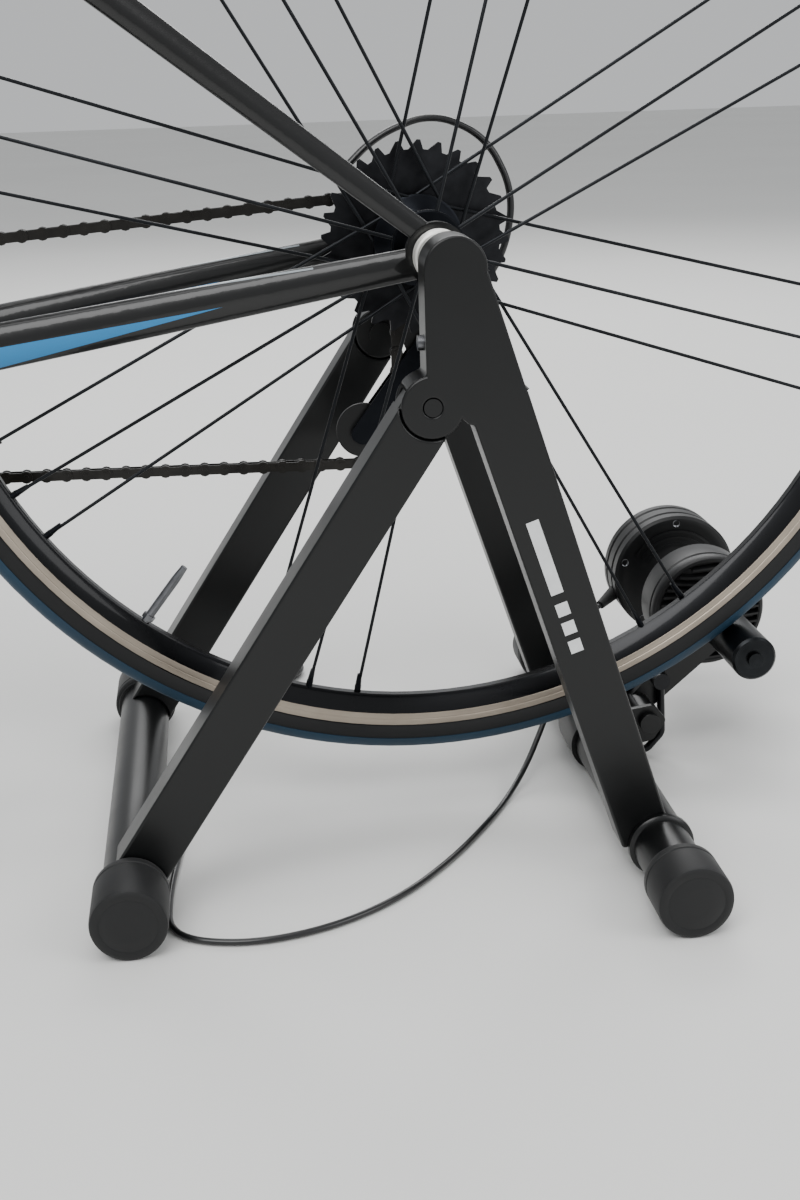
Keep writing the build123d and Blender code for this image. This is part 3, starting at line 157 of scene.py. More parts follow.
# anodised and lacquered rim: deep black with a clear gloss
rimAlloy = layFinish(newMaterial("glossAnodisedRim", metallic=0.85, coat=0.3), {
    "dark": "#0b0c0d", "light": "#17181b", "blotchMm": 60, "rough": (0.22, 0.34),
    "grainMm": 1.2, "depthMm": 0.02, "relief": 0.2})
# stainless wire drawn and blackened: thin bright lines of shine
spokeSteel = layFinish(newMaterial("blackDrawnSpokeWire", metallic=0.9), {
    "dark": "#17181a", "light": "#2b2d30", "blotchMm": 24, "rough": (0.28, 0.42),
    "grainMm": 1.5, "depthMm": 0.02, "relief": 0.2})
# forged and polished aluminium of cranks and stem
forgedAlloy = layFinish(newMaterial("forgedGreyAluminium", metallic=1.0, coat=0.2), {
    "dark": "#1b1c1f", "light": "#34363a", "blotchMm": 30, "rough": (0.26, 0.4),
    "grainMm": 1.0, "depthMm": 0.03, "relief": 0.3})
# steel under a film of dirty oil
chainSteel = layFinish(newMaterial("oiledChainSteel", metallic=0.9, coat=0.3, coatRoughness=0.25), {
    "dark": "#0e0d0c", "light": "#33312e", "blotchMm": 9, "rough": (0.3, 0.55),
    "grainMm": 0.9, "depthMm": 0.05, "relief": 0.4})
# stamped steel plated with nickel, darkened by use
sprocketSteel = layFinish(newMaterial("nickelPlatedSprocket", metallic=1.0), {
    "dark": "#151517", "light": "#3d3e41", "blotchMm": 12, "rough": (0.28, 0.46),
    "grainMm": 0.8, "depthMm": 0.04, "relief": 0.3})
# zinc-plated fasteners: pale grey, slightly cloudy
boltSteel = layFinish(newMaterial("zincPlatedBolt", metallic=1.0), {
    "dark": "#55565a", "light": "#8d8e91", "blotchMm": 6, "rough": (0.26, 0.42),
    "grainMm": 0.7, "depthMm": 0.03, "relief": 0.3})
# spring steel blacked in oil: dark satin
blackWire = layFinish(newMaterial("blackenedSpringSteel", metallic=0.8, coat=0.2), {
    "dark": "#0e0f10", "light": "#232427", "blotchMm": 14, "rough": (0.26, 0.42),
    "grainMm": 1.0, "depthMm": 0.03, "relief": 0.3})
# butyl and textile tyre wall: matt black, faint cloth grain
tyreWall = layFinish(newMaterial("vulcanisedTyreWall", specular=0.4), {
    "dark": "#070708", "light": "#101112", "blotchMm": 30, "rough": (0.55, 0.75),
    "grainMm": 1.0, "depthMm": 0.1, "relief": 0.35})
# embossed polyurethane over foam: soft satin with a leathery pebble
saddleSkin = layFinish(newMaterial("embossedPolyurethaneSkin", specular=0.4), {
    "dark": "#08090a", "light": "#141517", "blotchMm": 22, "rough": (0.42, 0.6),
    "grainMm": 1.8, "depthMm": 0.2, "relief": 0.5})
# wrapped cork-and-polymer tape: matt, dimpled
barTape = layFinish(newMaterial("corkPolymerTape", specular=0.35, sheen=0.15), {
    "dark": "#0d0e0f", "light": "#1e2022", "blotchMm": 16, "rough": (0.6, 0.8),
    "grainMm": 2.0, "depthMm": 0.4, "relief": 0.6})
# screen-printed white ink, slightly chalky
whiteInk = layFinish(newMaterial("screenPrintedInk"), {
    "dark": "#c9cbcc", "light": "#e2e3e3", "blotchMm": 8, "rough": (0.45, 0.6),
    "grainMm": 0.5, "depthMm": 0.03, "relief": 0.2})


def turnedMetal(name, centre, look):
    # lathe-cut: rings of fine tool marks about the axle line, on the sides and on the faces
    material, tree, shader, place = newMaterial(name, metallic=1.0)
    local = addNode(tree, "ShaderNodeMapping", values={"Location": tuple(-centre)},
                    links={"Vector": (place, "Object")})
    marks = addNode(tree, "ShaderNodeTexWave", {"wave_type": "RINGS", "rings_direction": "Y"},
                    {"Scale": 50 / look["markMm"], "Distortion": 0.3, "Detail": 1.0},
                    {"Vector": (local, "Vector")})
    stain = addNode(tree, "ShaderNodeTexNoise", values={"Scale": 1000 / look["blotchMm"], "Detail": 5.0},
                    links={"Vector": (place, "Object")})
    addNode(tree, "ShaderNodeMix", {"data_type": "RGBA"},
            {6: hexColour(look["dark"]), 7: hexColour(look["light"])}, {0: (stain, "Fac")},
            {2: (shader, "Base Color")})
    addNode(tree, "ShaderNodeMapRange", values={"To Min": look["rough"][0], "To Max": look["rough"][1]},
            links={"Value": (marks, "Fac")}, feeds={"Result": (shader, "Roughness")})
    addNode(tree, "ShaderNodeBump", values={"Strength": 0.4, "Distance": 0.05 * mm},
            links={"Height": (marks, "Fac")}, feeds={"Normal": (shader, "Normal")})
    return material


cupSteel = turnedMetal("zincPlatedTurnedSteel", rearAxle, {
    "dark": "#b4b2ac", "light": "#f2f1ec", "blotchMm": 14, "rough": (0.3, 0.46), "markMm": 0.9})
rollerSteel = turnedMetal("blackenedRollerSteel", rollerAxle, {
    "dark": "#18191a", "light": "#303234", "blotchMm": 16, "rough": (0.26, 0.4), "markMm": 1.0})
trackRear = turnedMetal("machinedBrakeTrackRear", rearAxle, {
    "dark": "#8a8074", "light": "#bdb2a4", "blotchMm": 40, "rough": (0.36, 0.5), "markMm": 1.1})
trackFront = turnedMetal("machinedBrakeTrackFront", frontAxle, {
    "dark": "#8a8074", "light": "#bdb2a4", "blotchMm": 40, "rough": (0.36, 0.5), "markMm": 1.1})


def treadRubber(name, centre, look):
    # coloured silica tread: slanted hair-line sipes all round, drawn twice as coarse so that they show
    material, tree, shader, place = newMaterial(name, specular=0.4)
    flat = addNode(tree, "ShaderNodeMapping", values={"Location": (-centre.x, -centre.z, 0)})
    axes = addNode(tree, "ShaderNodeSeparateXYZ", links={"Vector": (place, "Object")})
    addNode(tree, "ShaderNodeCombineXYZ", links={"X": (axes, "X"), "Y": (axes, "Z")},
            feeds={"Vector": (flat, "Vector")})
    around = addNode(tree, "ShaderNodeTexGradient", {"gradient_type": "RADIAL"},
                     links={"Vector": (flat, "Vector")})
    slant = addNode(tree, "ShaderNodeMath", {"operation": "ABSOLUTE"}, links={0: (axes, "Y")})
    turns = addNode(tree, "ShaderNodeMath", {"operation": "MULTIPLY_ADD"}, {1: look["sipes"]},
                    {0: (around, "Fac"), 2: (slant, 0)})
    leaned = addNode(tree, "ShaderNodeMath", {"operation": "MULTIPLY_ADD"}, {1: 160.0},
                     {0: (slant, 0), 2: (turns, 0)})
    wave = addNode(tree, "ShaderNodeMath", {"operation": "PINGPONG"}, {1: 0.5}, {0: (leaned, 0)})
    blotch = addNode(tree, "ShaderNodeTexNoise", values={"Scale": 20.0, "Detail": 4.0},
                     links={"Vector": (place, "Object")})
    addNode(tree, "ShaderNodeMix", {"data_type": "RGBA"},
            {6: hexColour(look["dark"]), 7: hexColour(look["light"])}, {0: (blotch, "Fac")},
            {2: (shader, "Base Color")})
    addNode(tree, "ShaderNodeMapRange", values={"To Min": 0.5, "To Max": 0.7},
            links={"Value": (blotch, "Fac")},
            feeds={"Result": (shader, "Roughness")})
    addNode(tree, "ShaderNodeBump", values={"Strength": 0.35, "Distance": 0.25 * mm},
            links={"Height": (wave, 0)},
            feeds={"Normal": (shader, "Normal")})
    return material


treadLook = {"sipes": 420.0, "dark": "#0d2433", "light": "#173a50"}
treadRear = treadRubber("silicaTreadRear", rearAxle, treadLook)
treadFront = treadRubber("silicaTreadFront", frontAxle, treadLook)


def framePaint(name, marks):
    # clear-lacquered black carbon; each mark is a sharp wedge: tip, way it runs, widening, colour; the marks
    # are paint graphics, a pinstripe and a painted highlight
    look = {"dark": "#030303", "light": "#08090a"}
    material, tree, shader, place = newMaterial(name, coat=0.45, coatRoughness=0.08, specular=0.3)
    blotch = addNode(tree, "ShaderNodeTexNoise", values={"Scale": 9.0, "Detail": 2.0},
                     links={"Vector": (place, "Object")})
    tone = addNode(tree, "ShaderNodeMix", {"data_type": "RGBA"},
                   {6: hexColour(look["dark"]), 7: hexColour(look["light"])}, {0: (blotch, "Fac")})
    for mark in marks:
        tip, way = fromAxle(*mark["tip"]), Vector((mark["way"][0], 0, mark["way"][1])).normalized()
        side = Vector((-way.z, 0, way.x))
        local = addNode(tree, "ShaderNodeVectorMath", {"operation": "SUBTRACT"},
                        {1: tuple(Vector((tip.x, 0, tip.z)))},
                        {0: (place, "Object")})
        along = addNode(tree, "ShaderNodeVectorMath", {"operation": "DOT_PRODUCT"}, {1: tuple(way)},
                        {0: (local, "Vector")})
        off = addNode(tree, "ShaderNodeVectorMath", {"operation": "DOT_PRODUCT"}, {1: tuple(side)},
                      {0: (local, "Vector")})
        size = addNode(tree, "ShaderNodeMath", {"operation": "ABSOLUTE"}, links={0: (off, "Value")})
        width = addNode(tree, "ShaderNodeMath", {"operation": "MULTIPLY_ADD"},
                        {1: mark["widening"], 2: mark["width"] * mm},
                        {0: (along, "Value")})
        inside = addNode(tree, "ShaderNodeMath", {"operation": "GREATER_THAN"},
                         links={0: (width, 0), 1: (size, 0)})
        past = addNode(tree, "ShaderNodeMath", {"operation": "GREATER_THAN"}, {1: 0.0},
                       {0: (along, "Value")})
        both = addNode(tree, "ShaderNodeMath", {"operation": "MULTIPLY"},
                       links={0: (inside, 0), 1: (past, 0)})
        tone = addNode(tree, "ShaderNodeMix", {"data_type": "RGBA"}, {7: hexColour(mark["colour"])},
                       {0: (both, 0), 6: (tone, 2)})
    tree.links.new(tone.outputs[2], shader.inputs["Base Color"])
    addNode(tree, "ShaderNodeMapRange", values={"To Min": 0.3, "To Max": 0.4},
            links={"Value": (blotch, "Fac")},
            feeds={"Result": (shader, "Roughness")})
    ripple = addNode(tree, "ShaderNodeTexNoise", values={"Scale": 90.0, "Detail": 1.0},
                     links={"Vector": (place, "Object")})
    addNode(tree, "ShaderNodeBump", values={"Strength": 0.12, "Distance": 0.05 * mm},
            links={"Height": (ripple, "Fac")},
            feeds={"Normal": (shader, "Normal")})
    return material


blue, pinstripeAndPaintedHighlight = "#1a78b0", "#8f979c"
plainFrame = framePaint("lacqueredCarbon", [])
chainstayPaint = framePaint("lacqueredCarbonChainstay", [
    {"tip": (-122, -25), "way": (-1, -0.19), "widening": 0.045, "width": 0.0, "colour": blue},
    # the thin pale line along the top of the chainstay is a pinstripe
    {"tip": (-70, -5.5), "way": (-1, -0.125), "widening": 0.0, "width": 0.45, "colour": pinstripeAndPaintedHighlight}])
seatstayPaint = framePaint("lacqueredCarbonSeatstay", [
    {"tip": (-118, 117), "way": (-1, 0.80), "widening": 0.07, "width": 0.0, "colour": blue},
    # the thin pale line along the upper edge of the seatstay is a painted highlight
    {"tip": (-240, 238), "way": (-1, 0.80), "widening": 0.0, "width": 0.5, "colour": pinstripeAndPaintedHighlight}])
tubePaint = framePaint("lacqueredCarbonTube", [
    {"tip": (-560, 120), "way": (-1, 0.62), "widening": 0.03, "width": 0.5, "colour": blue}])
print("materials ready")


def finishPiece(name, bm, body, material, replaced=(), sharp=35, turnFaces=True):
    bmesh.ops.remove_doubles(bm, verts=bm.verts, dist=1e-6)
    if turnFaces:
        bmesh.ops.recalc_face_normals(bm, faces=bm.faces)
    mesh = bpy.data.meshes.new(name)
    bm.to_mesh(mesh)
    bm.free()
    mesh.materials.append(material)
    mesh.shade_smooth()
    mesh.set_sharp_from_angle(angle=math.radians(sharp))
    piece = bpy.data.objects.new(name, mesh)
    bpy.context.collection.objects.link(piece)
    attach(piece, body)
    if replaced:
        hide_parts(*replaced)
    return piece


def spinRing(bm, centre, profile, steps=48, closed=True, turn=2 * math.pi, start=0.0):
    # profile: (y, r) in mm, spun about the axle line through centre
    corners = [bm.verts.new(Vector((centre.x + r * mm, y * mm, centre.z))) for y, r in profile]
    edges = [bm.edges.new(pair) for pair in zip(corners, corners[1:])]
    if closed:
        edges.append(bm.edges.new((corners[-1], corners[0])))
    if start:
        bmesh.ops.rotate(bm, verts=corners, cent=centre, matrix=Matrix.Rotation(start, 3, "Y"))
    whole = abs(turn - 2 * math.pi) < 1e-6
    if not whole and closed:
        bm.faces.new(corners)
    bmesh.ops.spin(bm, geom=corners + edges + ([] if whole else list(corners[0].link_faces)), cent=centre,
                   axis=(0, 1, 0), angle=turn, steps=steps, use_merge=whole)


def addBar(bm, start, end, radius, segments=16, endRadius=None):
    made = bmesh.ops.create_cone(bm, cap_ends=True, segments=segments, radius1=radius * mm,
                                 radius2=(radius if endRadius is None else endRadius) * mm,
                                 depth=(end - start).length)["verts"]
    turn = (end - start).to_track_quat("Z", "Y").to_matrix().to_4x4()
    bmesh.ops.transform(bm, matrix=Matrix.Translation((start + end) / 2) @ turn, verts=made)
    return made


def addBlock(bm, centre, size, turn=0.0, rounding=0.0):  # size in mm, turned about the Y line
    made = bmesh.ops.create_cube(bm, size=1.0)["verts"]
    bmesh.ops.scale(bm, vec=Vector(size) * mm, verts=made)
    bmesh.ops.rotate(bm, verts=made, matrix=Matrix.Rotation(turn, 3, "Y"))
    bmesh.ops.translate(bm, vec=centre, verts=made)
    if rounding:
        edges = list({edge for vert in made for edge in vert.link_edges})
        bmesh.ops.bevel(bm, geom=edges, offset=rounding * mm, segments=2, profile=0.5, affect="EDGES",
                        material=-1)


def addBolt(bm, centre, way, radius, height):
    # a socket cap screw: round head with a six-sided recess
    tip = centre + way.normalized() * height * mm
    head = addBar(bm, centre, tip, radius, 20)
    bm.faces.ensure_lookup_table()
    faces = {face for vert in head for face in vert.link_faces}
    cap = max(faces, key=lambda face: face.calc_center_median().dot(way))
    bmesh.ops.inset_region(bm, faces=[cap], thickness=radius * 0.45 * mm)
    bmesh.ops.translate(bm, vec=-way.normalized() * height * 0.5 * mm, verts=cap.verts)


def roundedCopy(source, body, material, rounding, limited=True):
    # a node's own shape with its sharp edges broken, as a cast, bent or moulded part has them
    bm = bmesh.new()
    bm.from_mesh(nodes[source].data)
    bmesh.ops.remove_doubles(bm, verts=bm.verts, dist=1e-6)
    bmesh.ops.dissolve_limit(bm, angle_limit=math.radians(0.5), verts=bm.verts, edges=bm.edges)
    corners = [edge for edge in bm.edges
               if len(edge.link_faces) == 2 and edge.calc_face_angle() > math.radians(40)]
    bmesh.ops.bevel(bm, geom=corners, offset=rounding * mm, segments=2 if limited else 3, profile=0.5,
                    affect="EDGES", material=-1, clamp_overlap=limited)
    name = "".join(word.capitalize() if i else word for i, word in enumerate(source.split("_"))) + "Shape"
    piece = finishPiece(name, bm, body, material, (source,), sharp=50, turnFaces=False)
    # keeps the broad faces flat beside their rounds
    flatter = piece.modifiers.new("flatFaces", "WEIGHTED_NORMAL")
    flatter.keep_sharp = True


def smoothCurve(name, points, radius, order=3):
    data = bpy.data.curves.new(name, "CURVE")
    data.dimensions = "3D"
    data.bevel_depth = radius
    data.bevel_resolution = 4
    data.resolution_u = 10
    data.use_fill_caps = True
    spline = data.splines.new("NURBS")
    spline.points.add(len(points) - 1)
    for target, point in zip(spline.points, points):
        target.co = (*point, 1)
    spline.order_u = order
    spline.use_endpoint_u = True
    piece = bpy.data.objects.new(name, data)
    bpy.context.collection.objects.link(piece)
    return piece


def buildWheel(tag, axle, body, tread, track, valveAngle, spokes):
    size = {"tyreCentre": 322.5, "tyreHalf": 11.05, "treadOuter": 11.5, "treadInner": 10.8, "steps": 144,
            "rimInner": 296, "rimSide": 9.3, "nippleRadius": 2.2, "valveRadius": 2.9}
    arc = [math.radians(-125 + 250 * step / 16) for step in range(17)]
    bm = bmesh.new()
    spinRing(bm, axle, [(size["tyreHalf"] * math.sin(a), size["tyreCentre"] + size["tyreHalf"] * math.cos(a))
                        for a in arc], steps=size["steps"])
    finishPiece(tag + "TyreCasing", bm, body, tyreWall, (tag + "_tyre",))
    crown = [math.radians(-80 + 160 * step / 16) for step in range(17)]
    outer = [(size["treadOuter"] * math.sin(a), size["tyreCentre"] + size["treadOuter"] * math.cos(a))
             for a in crown]
    grooved = []
    for y, r in outer:  # two shallow grooves run round the tread
        grooved.append((y, r - 0.5) if 3.5 < abs(y) < 6.2 else (y, r))
    bm = bmesh.new()
    inner = [(size["treadInner"] * math.sin(a), size["tyreCentre"] + size["treadInner"] * math.cos(a))
             for a in reversed(crown)]
    spinRing(bm, axle, grooved + inner, steps=size["steps"])
    finishPiece(tag + "TyreTread", bm, body, tread, sharp=25)
    bm = bmesh.new()
    inner, half = size["rimInner"], size["rimSide"]
    spinRing(bm, axle, [(-2.6, inner), (-5.2, 298.4), (-8.6, 305.6), (-half, 307), (-half, 316),
                        (half, 316), (half, 307), (8.6, 305.6), (5.2, 298.4), (2.6, inner)],
             steps=size["steps"])
    finishPiece(tag + "RimBody", bm, body, rimAlloy, (tag + "_rim",))
    bm = bmesh.new()
    for side in (-1, 1):  # machined brake track: two bands with a wear line between them
        spinRing(bm, axle, [(side * y, r) for y, r in (
            (9.2, 307.2), (9.5, 307.5), (9.55, 310.9), (9.38, 311.1), (9.38, 311.6), (9.55, 311.8),
            (9.55, 315.2), (9.2, 315.5))], steps=size["steps"])
    finishPiece(tag + "BrakeTracks", bm, body, track, sharp=20)
    bm = bmesh.new()
    for angle, y in spokes:
        way = Vector((math.cos(angle), 0, math.sin(angle)))
        foot = Vector((axle.x, y * mm, axle.z))
        addBar(bm, foot + way * 284 * mm, foot + way * 292 * mm, 1.5, 8, 2.0)
        addBar(bm, foot + way * 292 * mm, foot + way * 297 * mm, size["nippleRadius"], 8)
    finishPiece(tag + "Nipples", bm, body, blackAlloy)
    bm = bmesh.new()
    way = Vector((math.cos(valveAngle), 0, math.sin(valveAngle)))
    addBar(bm, axle + way * 262 * mm, axle + way * 298 * mm, size["valveRadius"], 14)
    addBar(bm, axle + way * 291 * mm, axle + way * 294.5 * mm, 4.2, 6)
    addBar(bm, axle + way * 252 * mm, axle + way * 262 * mm, 2.2, 12, size["valveRadius"])
    finishPiece(tag + "Valve", bm, body, boltSteel)


rearSpokes, frontSpokes = [], []
for group in range(8):
    for lean, y in ((0, -1.5), (6.4, 1.5), (-6.4, 1.5)):
        rearSpokes.append((math.radians(29 + 45 * group + lean), y))
for spoke in range(20):
    frontSpokes.append((math.radians(18 * spoke), 1.2 if spoke % 2 else -1.2))
buildWheel("rear", rearAxle, "rear_wheel", treadRear, trackRear, math.radians(29 + 22.5 + 180), rearSpokes)
buildWheel("front", frontAxle, "front_wheel", treadFront, trackFront, math.radians(9), frontSpokes)


def buildHubs():
    bm = bmesh.new()
    spinRing(bm, rearAxle, [
        (-61, 2.6), (-61, 6.6), (-60, 7.6), (-52, 8), (-46, 8.5), (-41, 12), (-36.6, 15), (-36, 20.5),
        (-35, 21.5), (-31, 21.5), (-30, 20.5), (-29.4, 15), (-24, 12.4), (-8, 12), (0, 14), (4.6, 20),
        (5.4, 26), (6.2, 27.5), (11.8, 27.5), (12.6, 26), (13.2, 17), (15.8, 15), (16.2, 8), (60, 7.6),
        (61, 6.6), (61, 2.6)],
        steps=56)
    finishPiece("rearHubBody", bm, "rear_wheel", blackAlloy, ("rear_hub",))
    bm = bmesh.new()
    for side in (-1, 1):
        spinRing(bm, frontAxle, [(side * y, r) for y, r in (
            (31.5, 9.3), (31.5, 13), (32.2, 16.6), (33.4, 17.4), (35.4, 17.4), (36.2, 16.4), (36.8, 11),
            (44, 9), (48.5, 8), (48.5, 6.2), (37, 6.2))], steps=40)
    finishPiece("frontHubShoulders", bm, "front_wheel", blackAlloy)
    bm = bmesh.new()
    spinRing(bm, rearAxle, [(55.6, 8.4), (55.6, 15.2), (57.2, 14.6), (57.6, 12), (57.2, 8.6)], steps=36)
    for step in range(12):
        angle = math.radians(30 * step)
        way = Vector((math.cos(angle), 0, math.sin(angle)))
        addBlock(bm, rearAxle + way * 10.4 * mm + acrossAxis * 57.3 * mm, (2.4, 0.8, 1.2), -angle)
    finishPiece("cassetteLockring", bm, "sprockets", sprocketSteel)


buildHubs()
print("wheels ready")


def toothPitch(teeth):
    return 12.7 / (2 * math.sin(math.pi / teeth)) * mm


def runBetween(first, firstRadius, second, secondRadius):  # straight run that leaves one wheel for the next
    gap = math.hypot(second.x - first.x, second.z - first.z)
    lean = math.asin((secondRadius - firstRadius) / gap)
    base = math.atan2(second.z - first.z, second.x - first.x)
    side = Vector((-math.sin(base + lean), 0, math.cos(base + lean)))
    return first + side * firstRadius, second + side * secondRadius


def chainLine():  # even stations a pin apart, each with its place and heading
    wheels = [(crankAxle, toothPitch(34)), (rearAxle, toothPitch(13)),
              (jointPlace["jockey_upper_spin"], -toothPitch(11)),
              (jointPlace["jockey_lower_spin"], toothPitch(11))]
    runs = [runBetween(*wheels[i], *wheels[(i + 1) % 4]) for i in range(4)]
    fine = []
    for i in range(4):
        start, end = runs[i]
        fine += [start.lerp(end, step / 40) for step in range(40)]
        centre, radius = wheels[(i + 1) % 4]
        leave = runs[(i + 1) % 4][0]
        first = math.atan2(end.z - centre.z, end.x - centre.x)
        last = math.atan2(leave.z - centre.z, leave.x - centre.x)
        sweep = -((first - last) % (2 * math.pi)) if radius > 0 else (last - first) % (2 * math.pi)
        for step in range(40):
            angle = first + sweep * step / 40
            fine.append(Vector((centre.x + abs(radius) * math.cos(angle), 0,
                                centre.z + abs(radius) * math.sin(angle))))
    steps = [(fine[(i + 1) % len(fine)] - fine[i]).length for i in range(len(fine))]
    count = 2 * round(sum(steps) / (12.7 * mm) / 2)
    pins, walked, target = [], 0.0, 0.0
    for i, step in enumerate(steps):
        while walked + step > target and len(pins) < count:
            pins.append(fine[i].lerp(fine[(i + 1) % len(fine)], (target - walked) / step))
            target += sum(steps) / count
        walked += step
    return pins


def buildChain():
    size = {"line": 50.0, "plateRadius": 4.1, "waist": 3.0, "thick": 0.9, "rollerRadius": 3.7}
    pins = chainLine()
    bm = bmesh.new()
    for index, pin in enumerate(pins):
        following = pins[(index + 1) % len(pins)]
        heading = following - pin
        angle = -math.atan2(heading.z, heading.x)
        inner = index % 2
        for side in (-1, 1):
            y = size["line"] + side * (1.75 if inner else 2.75)
            for place in (pin, following):
                seat = place + acrossAxis * y * mm
                addBar(bm, seat - acrossAxis * size["thick"] / 2 * mm,
                       seat + acrossAxis * size["thick"] / 2 * mm,
                       size["plateRadius"], 12)
            centre = (pin + following) / 2 + acrossAxis * y * mm
            addBlock(bm, centre, (heading.length / mm, size["thick"] * 0.94, 2 * size["waist"]), angle)
        centre = pin + acrossAxis * size["line"] * mm
        addBar(bm, centre - acrossAxis * 1.3 * mm, centre + acrossAxis * 1.3 * mm, size["rollerRadius"], 10)
        addBar(bm, centre - acrossAxis * 3.7 * mm, centre + acrossAxis * 3.7 * mm, 1.8, 8)
    finishPiece("chainLinks", bm, "base", chainSteel, ("chain",))
    print("chain of", len(pins), "links")


buildChain()


def buildFeet():
    size = {"frontHalf": high("front_foot_caps", 1), "rearHalf": high("rear_foot_caps", 1),
            "frontCap": 42, "rearCap": 33, "frontBody": "front_frame", "rearBody": "base"}
    for tag, centre in (("front", frontFoot), ("rear", rearFoot)):
        half, cap, body = size[tag + "Half"], size[tag + "Cap"], size[tag + "Body"]
        bm = bmesh.new()
        for side in (-1, 1):  # cup with a rolled lip, a grip groove and a slightly domed end
            spinRing(bm, centre, [(side * y, r) for y, r in (
                (half - cap, 17.6), (half - cap, 20.6), (half - cap + 0.8, 21.8), (half - cap + 2, 22.3),
                (half - cap + 5.6, 22.3), (half - cap + 6.1, 21.7), (half - cap + 7.1, 21.7),
                (half - cap + 7.6, 22.3), (half - 3.4, 22.3), (half - 1.6, 21.7), (half - 0.7, 20.2),
                (half - 0.5, 17.6), (half - 0.9, 16.8), (half - 0.9, 16.2), (half - 0.4, 15.4), (half, 8),
                (half, 0), (half - 3, 0), (half - 3, 17.6))],
                steps=56)
        bmesh.ops.remove_doubles(bm, verts=bm.verts, dist=1e-6)
        everything = bm.verts[:] + bm.edges[:] + bm.faces[:]
        cut = bmesh.ops.bisect_plane(bm, geom=everything, plane_co=(0, 0, 0.00005), plane_no=(0, 0, -1),
                                     clear_outer=True)
        rims = [part for part in cut["geom_cut"] if isinstance(part, bmesh.types.BMEdge)]
        bmesh.ops.holes_fill(bm, edges=rims)
        finishPiece(tag + "FootCapRubber", bm, body, capRubber, (tag + "_foot_caps",))
        bm = bmesh.new()
        for side in (-1, 1):  # weld collar outside each leg
            spinRing(bm, centre, [(side * y, r) for y, r in (
                (138.6, 17.4), (138.6, 19.6), (139.6, 20.2), (142.4, 20), (143.6, 18.8), (144, 17.4))],
                steps=48)
        finishPiece(tag + "WeldCollars", bm, body, standPaint)


buildFeet()


def buildClamp():
    cup = [(80.5, 0), (81, 6.6), (74, 10.4), (74, 12.6), (74.6, 13.8), (76, 14.7), (78, 15), (80.2, 15),
           (80.6, 14.4), (81.4, 14.4), (81.8, 15), (84.4, 15), (84.8, 14.4), (85.6, 14.4), (86, 15),
           (87.2, 14.8), (87.8, 13.6), (89, 13), (90, 12.8), (90.6, 13.2), (95, 13.2), (97, 12.6),
           (99, 11), (100, 10.8)]
    near = cup + [(113, 10.8), (113, 8), (122.6, 8), (122.6, 0)]
    far = cup + [(99.8, 8.2), (84, 7.6), (84, 0)]
    bm = bmesh.new()
    spinRing(bm, rearAxle, [(-y, r) for y, r in near], steps=56, closed=False)
    finishPiece("nearAxleCup", bm, "base", cupSteel, ("clamp_cup_near",))
    bm = bmesh.new()
    spinRing(bm, rearAxle, far, steps=56, closed=False)
    finishPiece("farAxleCup", bm, "clamp_slider", cupSteel, ("clamp_cup_far",))


def buildLegDetails():
    size = {"face": 139.0, "bars": ((0, 46, -5.2, 7.5), (52, 60, -5.2, 7.5), (64, 72, -5.2, 7.5),
                                    (76, 84, -5.2, 7.5))}
    top, way = fromAxle(38, -141), Vector((0.317, 0, -0.948)).normalized()
    side = Vector((-way.z, 0, way.x))
    lean = -math.atan2(way.z, way.x)
    bm = bmesh.new()
    for start, end, off, width in size["bars"]:  # four plain printed bars, one long and three short
        centre = top + way * (start + end) / 2 * mm + side * (off + width) * mm
        centre = centre - acrossAxis * (size["face"] + 0.02) * mm
        addBlock(bm, centre, (end - start, 0.16, width), lean)
    finishPiece("plainPrintedBars", bm, "base", whiteInk)
    bm = bmesh.new()
    for sideY in (-1, 1):  # small stop screw in the head's front edge
        addBolt(bm, fromAxle(-16.4, -40, sideY * 126), Vector((-1, 0, 0)), 4.2, 3.4)
    finishPiece("stopScrews", bm, "base", boltSteel)


buildClamp()
buildLegDetails()
print("stand details ready")


